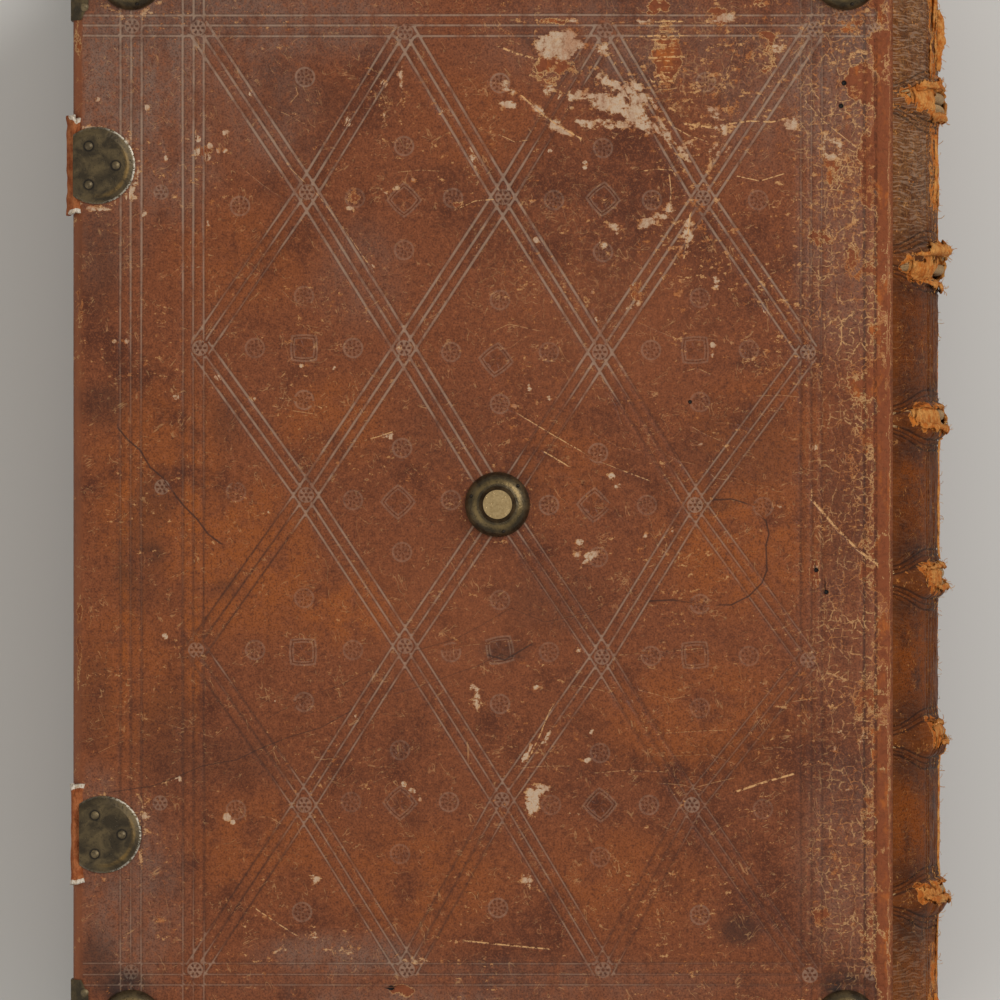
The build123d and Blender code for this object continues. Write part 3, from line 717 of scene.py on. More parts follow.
@dataclass(frozen=True)
class BrassFinish:
    """Old brass: dull brown patina, golden on its sloped bevels as rubbed metal and a painted highlight, with
    grime and painted shade round its nails.
    """

    name: str
    patina: Colour = srgb(60, 51, 37)
    metal: Colour = srgb(97, 82, 56)
    # grime colour, also used as painted shade round the nails
    grime_and_shade: Colour = srgb(30, 26, 22)
    bright: Colour = srgb(150, 124, 74)
    edge_shine: float = 0.0
    knob_level: float = 0.0
    knob: Colour = srgb(176, 150, 106)
    nail_spots: tuple[Point, ...] = ()
    centre: Point | None = None

    def build(self) -> Material:
        """Builds the material."""
        material, nodes, shader = new_material(self.name)
        place = nodes.add("ShaderNodeTexCoord").outputs["Object"]
        cloud = nodes.noise(place, 170.0, 5.0, 0.64, 0.4)
        fine = nodes.noise(place, 1100.0, 3.0, 0.65)
        pits = nodes.span(nodes.cells(place, 650.0), 0.06, 0.20, 1.0, 0.0)
        base = nodes.mix(nodes.span(cloud, 0.36, 0.66), self.patina, self.metal)
        tilt = nodes.level_share()
        # golden on sloped bevels: rubbed brass together with a painted highlight
        bevel = nodes.times(nodes.span(tilt, 0.80, 0.93), nodes.span(tilt, 0.955, 0.985, 1.0, 0.0))
        rubbed = nodes.times(bevel, nodes.span(cloud, 0.28, 0.55, 0.3, 1.0))
        base = nodes.layer(base, self.bright, rubbed, self.edge_shine)
        base = nodes.layer(base, self.grime_and_shade, nodes.span(fine, 0.52, 0.72, 0.0, 0.5))
        base = nodes.layer(base, self.grime_and_shade, pits, 0.45)
        # dark ring round each nail: grime with painted shade where the nail head meets the plate
        for x, y in self.nail_spots:
            ends = {0: nodes.stretch(place, 1.0, 1.0, 0.0), 1: (x * MM, y * MM, 0.0)}
            gap = nodes.add("ShaderNodeVectorMath", ends, operation="DISTANCE")
            base = nodes.layer(base, self.grime_and_shade, nodes.span(gap.outputs["Value"], 0.0017, 0.0024, 0.85, 0.0))
        if self.centre:
            ends = {0: nodes.stretch(place, 1.0, 1.0, 0.0),
                    1: (self.centre[0] * MM, self.centre[1] * MM, 0.0)}
            offset = nodes.first("ShaderNodeVectorMath", ends, operation="SUBTRACT")
            reach = nodes.add("ShaderNodeVectorMath", {0: offset}, operation="LENGTH").outputs["Value"]
            right, up, _ = nodes.split(offset)
            # painted highlight: a golden crescent on the lower right of the ring
            low_right = nodes.span(nodes.minus(right, nodes.times(up, 0.6)), 0.003, 0.012)
            gap = nodes.apart(reach, 0.0111)
            painted_highlight = nodes.times(nodes.span(gap, 0.0002, 0.0011, 0.9, 0.0), low_right)
            base = nodes.layer(base, srgb(128, 100, 54), painted_highlight, nodes.span(cloud, 0.34, 0.60, 0.15, 0.9))
            # pale broken ring at the plate's edge, stronger to the right: dust and a painted highlight
            dust_and_highlight = nodes.times(nodes.span(reach, 0.0130, 0.0136), nodes.span(fine, 0.42, 0.56))
            base = nodes.layer(base, srgb(196, 186, 168), dust_and_highlight, nodes.span(right, 0.001, 0.008, 0.1, 0.8))
        if self.knob_level:
            level = nodes.apart(nodes.split(place)[2], MIDDLE_HEIGHT)
            top = nodes.times(nodes.math("GREATER_THAN", level, self.knob_level),
                              nodes.math("GREATER_THAN", tilt, 0.9))
            worn = nodes.mix(nodes.span(fine, 0.40, 0.70, 0.0, 0.5), self.knob, srgb(136, 110, 68))
            worn = nodes.layer(worn, self.metal, nodes.span(cloud, 0.56, 0.72, 0.0, 0.6))
            base = nodes.layer(base, worn, top)
        shader.inputs["Metallic"].default_value = 0.75
        dull = 0.26 if self.knob_level else 0.38
        rough = nodes.span(cloud, 0.3, 0.7, dull, dull + 0.20)
        rise = nodes.plus(nodes.times(fine, 0.5), nodes.times(pits, -0.6))
        nodes.surface(shader, base, rough, nodes.plus(rise, cloud), 0.4, 0.0006)
        return material


@dataclass(frozen=True)
class PaperFinish:
    """Old rag paper, toned and dusty towards its edges."""

    name: str
    clean: Colour = srgb(208, 182, 148)
    toned: Colour = srgb(170, 130, 94)
    dirt: Colour = srgb(102, 76, 52)
    leaf_pitch: float = 0.0

    def build(self) -> Material:
        """Builds the material."""
        material, nodes, shader = new_material(self.name)
        place = nodes.add("ShaderNodeTexCoord").outputs["Object"]
        cloud = nodes.noise(place, 14.0, 8.0, 0.68)
        fine = nodes.noise(place, 420.0, 4.0, 0.65)
        base = nodes.mix(nodes.span(cloud, 0.36, 0.72, 0.0, 0.62), self.clean, self.toned)
        base = nodes.layer(base, self.dirt, nodes.span(fine, 0.55, 0.75), 0.4)
        spots = nodes.cells(nodes.warp(place, 90.0, 0.004), 95.0)
        patches = nodes.noise(place, 26.0, 2.0)
        foxing = nodes.times(nodes.span(spots, 0.05, 0.20, 1.0, 0.0), nodes.span(patches, 0.50, 0.64))
        base = nodes.layer(base, self.toned, foxing, 0.45)
        rise = fine
        if self.leaf_pitch:
            cut = nodes.span(nodes.level_share(), 0.5, 0.9, 1.0, 0.0)
            drawn = nodes.stretch(nodes.warp(place, 14.0, 0.0012), 0.012, 0.012, 1.0)
            leaves = nodes.noise(drawn, 1 / self.leaf_pitch, 2.0)
            gatherings = nodes.noise(nodes.stretch(place, 0.004, 0.004, 1.0), 220.0, 1.0)
            base = nodes.layer(base, self.toned, nodes.span(gatherings, 0.45, 0.72, 0.2, 0.7), cut)
            base = nodes.layer(base, self.dirt, nodes.span(leaves, 0.50, 0.66, 0.0, 0.75), cut)
            rise = nodes.plus(nodes.times(leaves, -2.0), fine)
        nodes.surface(shader, base, 0.88, rise, 0.5, 0.0004)
        return material


@dataclass(frozen=True)
class WoodFinish:
    """Split hardwood of the boards and pegs, seen at their bare edges."""

    name: str = "board_wood"
    light: Colour = srgb(146, 108, 70)
    dark: Colour = srgb(84, 56, 34)

    def build(self) -> Material:
        """Builds the material."""
        material, nodes, shader = new_material(self.name)
        place = nodes.add("ShaderNodeTexCoord").outputs["Object"]
        rings = nodes.noise(nodes.stretch(nodes.warp(place, 22.0, 0.01), 9.0, 0.5, 9.0), 60.0, 5.0, 0.6)
        pores = nodes.noise(nodes.stretch(place, 8.0, 0.4, 8.0), 260.0, 3.0, 0.6)
        base = nodes.mix(nodes.span(rings, 0.34, 0.66), self.dark, self.light)
        base = nodes.layer(base, self.dark, nodes.span(pores, 0.56, 0.72, 0.0, 0.6))
        nodes.surface(shader, base, 0.7, pores, 0.4, 0.0004)
        return material


@dataclass(frozen=True)
class CordFinish:
    """Twisted hemp cord or coarse linen."""

    name: str
    light: Colour = srgb(198, 162, 110)
    dark: Colour = srgb(120, 84, 50)
    twist_scale: float = 700.0

    def build(self) -> Material:
        """Builds the material."""
        material, nodes, shader = new_material(self.name)
        place = nodes.add("ShaderNodeTexCoord").outputs["Object"]
        values = {"Vector": nodes.stretch(place, 1.0, 1.6, 1.0), "Scale": self.twist_scale, "Distortion": 2.5,
                  "Detail": 3.0}
        strands = nodes.add("ShaderNodeTexWave", values, bands_direction="DIAGONAL").outputs["Fac"]
        cloud = nodes.noise(place, 240.0, 5.0, 0.6)
        base = nodes.mix(strands, self.dark, self.light)
        base = nodes.layer(base, self.dark, nodes.span(cloud, 0.45, 0.7, 0.0, 0.5))
        nodes.surface(shader, base, 0.9, nodes.plus(strands, cloud), 0.7, 0.0005)
        return material


@dataclass(frozen=True)
class Track:
    """One tooled, scratched or split line on a sheet, as a path in millimetres."""

    path: np.ndarray
    half_width: float = 0.55
    depth: float = 0.28
    light: float = 1.0
    dark: float = 0.0
    scratch: float = 0.0
    crack: float = 0.0

    def rails(self, step: float = 8.0) -> list[np.ndarray]:
        """The line's two sides and its middle, cut into short runs.

        Args:
            step: Longest run in millimetres.

        Returns:
            Three paths.
        """
        points = [self.path[0]]
        for start, end in zip(self.path, self.path[1:]):
            count = max(1, int(hypot(*(end - start)) / step))
            points += [start + (end - start) * (i + 1) / count for i in range(count)]
        middle = np.array(points)
        along = np.gradient(middle, axis=0)
        along /= np.linalg.norm(along, axis=1)[:, None] + 1e-9
        across = np.column_stack([-along[:, 1], along[:, 0]])
        return [middle + across * self.half_width * side for side in (-1, 0, 1)]

    def distance(self, places: np.ndarray) -> np.ndarray:
        """Distance from each place to the line, in millimetres."""
        best = np.full(len(places), 1e9)
        for start, end in zip(self.path, self.path[1:]):
            run = end - start
            share = np.clip(((places - start) @ run) / (run @ run), 0, 1)
            best = np.minimum(best, np.linalg.norm(places - start - share[:, None] * run, axis=1))
        return best


@dataclass(frozen=True)
class Stamp:
    """One impression of a hand stamp."""

    centre: Point
    radius: float
    kind: StampKind
    turn: float = 0.0
    fade: float = 1.0
    depth: float = 0.16


@dataclass(frozen=True)
class Blot:
    """A soft oval of wear or colour, in pixels of the photograph."""

    x: float
    y: float
    reach_x: float
    reach_y: float
    strength: float = 1.0
    turn: float = 0.0

    def share(self, pixels: np.ndarray) -> np.ndarray:
        """How strongly the blot shows at each place."""
        across, along = turned(pixels - np.array([self.x, self.y]), self.turn).T
        return self.strength * (1 - ease(0.45, 1.25, np.hypot(across / self.reach_x, along / self.reach_y)))


@dataclass(frozen=True)
class Halo:
    """A ring of wear or dust, in pixels of the photograph."""

    x: float
    y: float
    radius: float
    width: float
    strength: float = 0.5

    def share(self, pixels: np.ndarray) -> np.ndarray:
        """How strongly the ring shows at each place."""
        gap = np.abs(np.hypot(pixels[:, 0] - self.x, pixels[:, 1] - self.y) - self.radius)
        return self.strength * (1 - ease(0.3 * self.width, self.width, gap))


def blots(*rows: Sequence[float]) -> tuple[Blot, ...]:
    """Blots from rows of x, y, reach across, reach along, strength and turn."""
    return tuple(Blot(*row) for row in rows)


def painted(marks: Sequence[Blot | Halo], pixels: np.ndarray) -> np.ndarray:
    """The strongest of several blots or rings at each place."""
    total = np.zeros(len(pixels))
    for mark in marks:
        total = np.maximum(total, mark.share(pixels))
    return total


@dataclass
class Sheet:
    """A flat sheet of leather that gets tooled, then bent into place."""

    low: Point
    high: Point
    tracks: list[Track]
    stamps: list[Stamp]
    pitch: float = 2.1
    seed: int = 5
    corner: float = 0.0
    extra: list[np.ndarray] = field(default_factory=list)

    def outline(self) -> np.ndarray:
        """The sheet's edge, from the far end of its right side round to the near end."""
        (x0, y0), (x1, y1) = self.low, self.high
        columns = np.linspace(x1, x0 + self.corner, max(2, int((x1 - x0) / self.pitch)))
        rows = np.linspace(y1 - self.corner, y0 + self.corner, max(2, int((y1 - y0) / self.pitch)))
        top = [(x, y1) for x in columns]
        left = [(x0, y) for y in rows]
        bottom = [(x, y0) for x in columns[::-1]]
        if not self.corner:
            return np.array(top + left[1:] + bottom[1:])
        turns = np.linspace(pi / 2, pi, 6)[1:-1]
        upper = [(x0 + self.corner * (1 + cos(a)), y1 - self.corner * (1 - sin(a))) for a in turns]
        lower = [(x, y0 + y1 - y) for x, y in upper[::-1]]
        return np.array(top + upper + left + lower + bottom)

    def triangulate(self) -> tuple[np.ndarray, list[tuple[int, ...]], list[int]]:
        """Cuts the sheet into triangles that follow its tooled lines.

        Returns:
            The places of the vertices, the triangles, and the vertices on the outline.
        """
        rng = np.random.default_rng(self.seed)
        outline = self.outline()
        (x0, y0), (x1, y1) = self.low, self.high
        inset = self.pitch * 0.6
        grid_x = np.arange(x0 + inset, x1 - inset, self.pitch)
        grid_y = np.arange(y0 + inset, y1 - inset, self.pitch)
        grid = np.array([(x, y) for x in grid_x for y in grid_y])
        grid += rng.uniform(-0.28, 0.28, grid.shape) * self.pitch
        keep = np.all((grid > np.array(self.low) + 0.5) & (grid < np.array(self.high) - 0.5), axis=1)
        if self.corner:
            near = (grid[:, 0] < x0 + self.corner) & (np.abs(grid[:, 1]) > y1 - self.corner)
            keep &= ~near
        for track in self.tracks:
            keep &= track.distance(grid) > track.half_width * 1.35
        for stamp in self.stamps:
            keep &= np.linalg.norm(grid - np.array(stamp.centre), axis=1) > stamp.radius * 1.3
        points = [tuple(p) for p in outline] + [tuple(p) for p in grid[keep]]
        edges = [(i, i + 1) for i in range(len(outline) - 1)]
        for track in self.tracks:
            for rail in track.rails():
                start = len(points)
                points += [tuple(p) for p in rail]
                edges += [(i, i + 1) for i in range(start, len(points) - 1)]
        for stamp in self.stamps:
            for share in (0.0, 0.28, 0.55, 0.8, 1.0, 1.22):
                count = 1 if not share else 14
                angles = np.arange(count) * 2 * pi / count + share
                points += [(stamp.centre[0] + stamp.radius * share * cos(a),
                            stamp.centre[1] + stamp.radius * share * sin(a)) for a in angles]
        for group in self.extra:
            points += [tuple(p) for p in group]
        kept_in = [Vector((min(max(x, x0), x1), min(max(y, y0), y1))) for x, y in points]
        verts, _, faces, origins, _, _ = delaunay_2d_cdt(kept_in, edges, [], 0, 1e-4)
        found = {}
        for number, sources in enumerate(origins):
            for source in sources:
                found[source] = number
        rim = [found[i] for i in range(len(outline))]
        return np.array([tuple(v) for v in verts]), [tuple(f) for f in faces], rim

    def tooling(self, places: np.ndarray) -> dict[str, np.ndarray]:
        """Height and masks of the tooled lines, scars and stamps.

        Args:
            places: The vertices' places on the flat sheet.

        Returns:
            Arrays by name: height, light, dark, scratch, crack, fade and local.
        """
        names = ("height", "light", "dark", "scratch", "crack", "fade")
        result = {name: np.zeros(len(places)) for name in names}
        local = np.full((len(places), 3), 9.0)
        covered = np.zeros(len(places))
        for stamp in self.stamps:
            offset = places - np.array(stamp.centre)
            reach = np.linalg.norm(offset, axis=1) / stamp.radius
            near = reach < 1.3
            size = sqrt(2) if stamp.kind is StampKind.SQUARE else 1.0
            local[near, :2] = turned(offset[near], stamp.turn) / stamp.radius * size
            local[near, 2] = stamp.kind.value
            covered = np.maximum(covered, (1 - ease(0.9, 1.1, reach)) * (stamp.kind is not StampKind.SQUARE))
            result["fade"][near] = stamp.fade
            pressed = 1 - ease(0.86, 1.08, reach)
            result["height"] -= stamp.depth * stamp.fade * pressed
        for track in self.tracks:
            share = np.clip(1 - track.distance(places) / track.half_width, 0, 1) * (1 - covered)
            result["height"] = np.minimum(result["height"], -track.depth * share)
            for name in ("light", "dark", "scratch", "crack"):
                result[name] = np.maximum(result[name], share * getattr(track, name))
        result["local"] = local
        return result


def waves(places: np.ndarray, swing: float, seed: int, length: float = 90.0) -> np.ndarray:
    """Gentle unevenness over a sheet, from a few crossing waves.

    Args:
        places: Places in millimetres.
        swing: Largest rise in millimetres.
        seed: Seed for the waves' directions.
        length: Rough length of the waves in millimetres.

    Returns:
        The rise at each place.
    """
    rng = np.random.default_rng(seed)
    total = np.zeros(len(places))
    for _ in range(7):
        angle, phase = rng.uniform(0, 2 * pi, 2)
        span = length * rng.uniform(0.35, 1.6)
        total += np.sin((places[:, 0] * cos(angle) + places[:, 1] * sin(angle)) * 2 * pi / span + phase)
    return swing * total / 3.5


def make_object(name: str, places: np.ndarray, faces: Sequence[Sequence[int]],
                materials: Sequence[Material]) -> Object:
    """Makes a mesh object in the scene.

    Args:
        name: The object's name.
        places: Vertices in millimetres.
        faces: Vertex numbers of each face.
        materials: The object's materials.

    Returns:
        The new object.
    """
    mesh = bpy.data.meshes.new(name)
    mesh.from_pydata([tuple(p) for p in np.asarray(places) * MM], [], [tuple(f) for f in faces])
    for material in materials:
        mesh.materials.append(material)
    mesh.polygons.foreach_set("use_smooth", np.ones(len(mesh.polygons), bool))
    mesh.update()
    made = bpy.data.objects.new(name, mesh)
    bpy.context.scene.collection.objects.link(made)
    return made


def flatten(made: Object) -> Object:
    """Turns an object's modifiers into plain mesh."""
    bpy.context.view_layer.update()
    graph = bpy.context.evaluated_depsgraph_get()
    plain = bpy.data.meshes.new_from_object(
        made.evaluated_get(graph), preserve_all_data_layers=True, depsgraph=graph)
    made.modifiers.clear()
    plain.name = made.name
    made.data = plain
    return made


def paint(made: Object, name: str, columns: Sequence[np.ndarray]) -> None:
    """Stores up to four masks on an object's vertices as one colour.

    Args:
        made: The object.
        name: The attribute's name.
        columns: Three or four arrays, one value for each vertex.
    """
    count = len(made.data.vertices)
    values = np.zeros((count, 4), np.float32)
    for number, column in enumerate(columns):
        values[: len(column), number] = column
    attribute = made.data.attributes.new(name, "FLOAT_COLOR", "POINT")
    attribute.data.foreach_set("color", values.ravel())


def paint_vector(made: Object, name: str, rows: np.ndarray) -> None:
    """Stores a vector for each of an object's vertices."""
    values = np.full((len(made.data.vertices), 3), 9.0, np.float32)
    values[: len(rows)] = rows
    made.data.attributes.new(name, "FLOAT_VECTOR", "POINT").data.foreach_set("vector", values.ravel())


def wavy(start: Point, end: Point, swing: float, seed: int) -> np.ndarray:
    """A nearly straight path with a slight hand-made sway.

    Args:
        start: First point in millimetres.
        end: Last point.
        swing: Largest sway.
        seed: Seed for the sway.

    Returns:
        The path's points.
    """
    rng = np.random.default_rng(seed)
    first, last = np.array(start), np.array(end)
    run = last - first
    across = np.array([-run[1], run[0]]) / np.linalg.norm(run)
    shares = np.linspace(0, 1, max(3, int(np.linalg.norm(run) / 45)))
    sway = rng.uniform(-swing, swing, len(shares))
    return np.array([first + run * s + across * w for s, w in zip(shares, sway)])


def offset_path(path: np.ndarray, shift: float) -> np.ndarray:
    """The same path moved sideways."""
    along = np.gradient(path, axis=0)
    along /= np.linalg.norm(along, axis=1)[:, None]
    return path + np.column_stack([-along[:, 1], along[:, 0]]) * shift


@dataclass
class BackTooling:
    """Where the back cover's blind tooling lies, in pixels of the photograph."""

    upright_x: tuple[float, ...] = (
        120.5, 130.9, 141.3, 182.7, 193.4, 203.8, 801.0, 811.4, 821.8, 864.5, 875.5)
    level_y: tuple[float, ...] = (
        -46.5, -36.0, -25.5, 15.2, 25.5, 35.9, 963.5, 974.5, 985.0, 1026.0, 1036.5, 1047.0)
    level_from_x: float = 83.0
    level_to_x: float = 884.0
    pitch: float = 10.3
    nodes: tuple[tuple[Point, ...], ...] = (
        ((198, 28), (405, 32), (605, 30), (815, 29)), ((307, 192), (503, 197), (703, 198)),
        ((200, 348), (404, 348), (600, 352), (808, 352)), ((306, 495), (500, 505), (695, 505)),
        ((196, 650), (405, 646), (602, 657), (808, 660)), ((304, 805), (502, 800), (692, 805)),
        ((195, 970), (407, 970), (603, 970), (810, 975)))
    frame_rosettes: tuple[Point, ...] = (
        (132, 26), (875, 30), (131, 972), (872, 973), (161, 192), (162, 487), (160, 803), (841, 14),
        (870, 155))
    squares: tuple[tuple[float, float, float], ...] = (
        (404, 200, 45), (603, 199, 40), (304, 348, 0), (496, 360, 38), (695, 350, 2), (398, 502, 45),
        (594, 505, 42), (303, 652, 0), (500, 650, 10), (695, 655, 3), (400, 803, 44), (600, 805, 48))
    cell_centres: tuple[Point, ...] = (
        (404, 198), (603, 200), (304, 348), (500, 352), (700, 350), (402, 500), (598, 505), (304, 650),
        (500, 652), (700, 656), (400, 802), (600, 805), (191, 206), (807, 200), (187, 492), (812, 507),
        (187, 810), (812, 809))
    half_cells: tuple[Point, ...] = ((305, 77), (500, 83), (706, 82), (302, 912), (498, 908), (700, 915))
    roundel_reach: Point = (49.0, 52.0)

    def diagonals(self) -> list[list[Point]]:
        """The lattice's ten bands, each through the nodes on its way."""
        grid = {}
        for row, places in enumerate(self.nodes):
            for number, place in enumerate(places):
                grid[row, 2 * number + row % 2] = place
        found = []
        rightwards = ((0, 0), (0, 2), (0, 4), (2, 0), (4, 0))
        leftwards = ((0, 2), (0, 4), (0, 6), (2, 6), (4, 6))
        for step, starts in ((1, rightwards), (-1, leftwards)):
            for row, column in starts:
                band = []
                while (row, column) in grid:
                    band.append(grid[row, column])
                    row, column = row + 1, column + step
                found.append(band)
        return found

    def tracks(self) -> list[Track]:
        """All tooled lines of the back cover."""
        found = []
        top, bottom = -73.0, 1073.0
        for number, x in enumerate(self.upright_x):
            path = wavy(*from_pixels([(x, top), (x, bottom)]), 0.16, 11 + number)
            light, dark = (0.9, 0.1) if x < 500 else (0.6, 0.45 + 0.4 * (x > 850))
            found.append(Track(path, half_width=0.95, light=light, dark=dark))
        for number, y in enumerate(self.level_y):
            path = wavy(*from_pixels([(self.level_from_x, y), (self.level_to_x, y)]), 0.14, 41 + number)
            found.append(Track(path, half_width=0.85, light=0.9, dark=0.15))
        for band in self.diagonals():
            middle = from_pixels(band)
            for side in (-1, 0, 1):
                path = offset_path(middle, side * self.pitch * MM_PER_PIXEL)
                found.append(Track(path, half_width=0.95))
        return found

    def stamps(self) -> list[Stamp]:
        """All stamps of the back cover."""
        found = []

        def press(places: Iterable[Point], radius: float, kind: StampKind, fade: float,
                  turn: float = 0.0) -> None:
            """Adds stamps of one kind that clear those already there."""
            for pixel, place in zip(places, from_pixels(places)):
                if hypot(pixel[0] - 500, pixel[1] - 505) < 30 or any(
                        hypot(*(place - np.array(s.centre))) < radius + s.radius for s in found):
                    continue
                found.append(Stamp(tuple(place), radius, kind, turn, fade))

        press([p for row in self.nodes for p in row], 2.95, StampKind.ROSETTE, 1.25)
        press(list(self.frame_rosettes), 2.85, StampKind.ROSETTE, 1.15)
        for x, y, turn in self.squares:
            press([(x, y)], 6.9, StampKind.SQUARE, 0.62, turn)
        ring = []
        for x, y in self.cell_centres:
            for across, along in ((-1, 0), (1, 0), (0, -1), (0, 1)):
                spot = (x + across * self.roundel_reach[0], y + along * self.roundel_reach[1])
                if 215 < spot[0] < 790 and 45 < spot[1] < 955:
                    ring.append(spot)
        press(ring, 3.6, StampKind.ROUNDEL, 0.62)
        press(list(self.half_cells), 3.6, StampKind.ROUNDEL, 1.0)
        return found


@dataclass
class BackWear:
    """Where the back cover is scuffed, flaked, stained and split, in pixels of the photograph."""

    scuffs: tuple[Blot, ...] = blots(
        (560, 45, 31, 21, 0.76), (613, 84, 25, 8, 0.70, 34), (642, 100, 23, 11, 0.70, 38),
        (606, 102, 31, 12, 0.70, 12), (637, 118, 27, 11, 0.72, 38), (660, 130, 22, 8, 0.60, 38),
        (674, 142, 24, 6, 0.56, 40), (548, 88, 13, 8, 0.60), (571, 86, 9, 6, 0.62), (568, 98, 15, 6, 0.64),
        (533, 106, 20, 5, 0.66, 36), (560, 128, 18, 5, 0.64, 38), (509, 104, 13, 6, 0.62, 14),
        (508, 89, 13, 4, 0.58, 6), (583, 123, 17, 5, 0.62, 18), (612, 123, 26, 9, 0.54, 10),
        (603, 49, 9, 8, 0.62), (722, 18, 14, 7, 0.7), (574, 20, 22, 4, 0.6), (640, 22, 20, 3, 0.56),
        (713, 113, 14, 5, 0.64, 50), (721, 129, 9, 8, 0.62), (731, 142, 13, 6, 0.60, 50),
        (717, 150, 22, 8, 0.54, -8), (688, 153, 12, 24, 0.46), (775, 46, 15, 11, 0.52),
        (792, 124, 12, 13, 0.56, 50), (665, 213, 12, 6, 0.60, -20), (646, 224, 12, 6, 0.64, -40),
        (615, 228, 12, 6, 0.58, 40), (585, 165, 5, 7, 0.62), (504, 83, 9, 5, 0.5), (602, 245, 8, 6, 0.56),
        (534, 205, 8, 4, 0.56), (688, 233, 5, 24, 0.62), (716, 283, 7, 7, 0.62), (532, 801, 10, 18, 0.74),
        (543, 790, 12, 6, 0.66), (530, 750, 4, 17, 0.74, 33), (542, 745, 4, 12, 0.70, 33),
        (590, 556, 15, 6, 0.60, -25), (578, 557, 5, 9, 0.62), (783, 505, 12, 4, 0.60),
        (474, 690, 5, 11, 0.68, -20), (401, 80, 3, 20, 0.58), (385, 118, 3, 20, 0.50),
        (529, 878, 11, 12, 0.56), (315, 880, 8, 9, 0.56), (312, 934, 9, 10, 0.55), (282, 949, 7, 6, 0.6),
        (341, 952, 30, 10, 0.44), (477, 700, 7, 16, 0.52), (515, 415, 5, 38, 0.46), (680, 300, 5, 70, 0.42),
        (402, 100, 4, 40, 0.44), (420, 960, 30, 6, 0.45))
    # x, y and reach of small bare spots
    chips: tuple[tuple[float, float, float], ...] = (
        (188, 140, 5), (198, 139, 6), (197, 152, 6), (208, 157, 6), (210, 146, 5), (218, 152, 5),
        (225, 151, 4), (226, 132, 6), (166, 158, 4), (147, 107, 4), (97, 99, 5), (208, 223, 5),
        (144, 214, 5), (251, 94, 4), (256, 103, 4), (348, 119, 4), (350, 125, 5), (384, 84, 5),
        (443, 111, 4), (473, 157, 5), (372, 268, 6), (180, 267, 4), (187, 267, 4), (198, 267, 4),
        (114, 341, 4), (127, 341, 4), (217, 377, 6), (176, 396, 6), (254, 399, 5), (301, 366, 4),
        (334, 368, 4), (391, 436, 6), (384, 435, 5), (268, 512, 5), (399, 348, 6), (165, 636, 5),
        (180, 779, 5), (275, 701, 4), (356, 717, 4), (227, 817, 6), (233, 822, 4), (404, 784, 5),
        (412, 791, 6), (420, 798, 5), (452, 788, 4), (580, 651, 7), (588, 760, 6), (588, 770, 6),
        (592, 731, 6), (529, 387, 7), (612, 477, 6), (618, 486, 6), (645, 536, 6), (580, 542, 6),
        (713, 345, 5), (713, 354, 5), (673, 530, 4), (509, 104, 5), (536, 687, 4), (632, 701, 4),
        (762, 683, 4), (790, 664, 4), (847, 790, 5), (700, 444, 4), (633, 285, 5), (550, 151, 4),
        (585, 166, 5), (536, 240, 5), (596, 320, 5), (764, 311, 4), (600, 455, 3), (549, 398, 4))
    spalls: tuple[tuple[float, float, float], ...] = (
        (134, 199, 6), (145, 808, 7), (146, 817, 7), (94, 788, 8), (350, 208, 8), (384, 192, 8),
        (396, 187, 7), (413, 180, 8), (477, 248, 5), (813, 447, 8), (815, 526, 8), (816, 566, 8),
        (816, 583, 8), (832, 747, 8), (864, 742, 9), (838, 732, 7), (813, 650, 5), (570, 813, 5),
        (580, 814, 5), (638, 303, 6), (629, 308, 5), (592, 291, 5), (668, 97, 5), (790, 118, 6))
    flakes: tuple[Blot, ...] = blots(
        (667, 55, 19, 50, 0.64), (660, 6, 16, 12, 0.66), (554, 65, 22, 12, 0.60), (205, 150, 17, 9, 0.56),
        (558, 21, 24, 6, 0.62), (718, 17, 16, 15, 0.62), (759, 4, 12, 8, 0.66), (764, 35, 11, 6, 0.66),
        (860, 84, 19, 24, 0.86), (872, 154, 22, 20, 0.78), (822, 238, 18, 12, 0.66), (870, 190, 20, 24, 0.6),
        (866, 385, 25, 34, 0.62), (860, 262, 26, 30, 0.5), (835, 170, 20, 24, 0.5), (862, 450, 24, 40, 0.5),
        (870, 560, 18, 60, 0.5), (815, 575, 7, 18, 0.72), (868, 700, 17, 60, 0.48), (872, 820, 15, 60, 0.5),
        (820, 915, 14, 24, 0.52), (850, 20, 22, 18, 0.5), (868, 930, 18, 40, 0.48), (760, 60, 30, 20, 0.42),
        (740, 110, 20, 20, 0.42), (640, 290, 20, 14, 0.46), (580, 300, 24, 10, 0.44),
        (460, 205, 12, 6, 0.55), (353, 196, 10, 12, 0.5), (403, 990, 16, 8, 0.74), (100, 215, 8, 10, 0.5),
        (560, 70, 40, 26, 0.44), (80, 300, 5, 60, 0.46), (79, 640, 5, 90, 0.46), (78, 40, 5, 60, 0.5),
        (139, 165, 6, 14, 0.5))
    crackle: tuple[Blot, ...] = blots(
        (850, 120, 62, 150, 1.0), (855, 300, 60, 130, 1.0), (856, 480, 52, 130, 0.85),
        (858, 660, 52, 130, 0.9), (858, 860, 52, 150, 0.85), (700, 60, 90, 60, 0.4),
        (560, 260, 90, 90, 0.25))
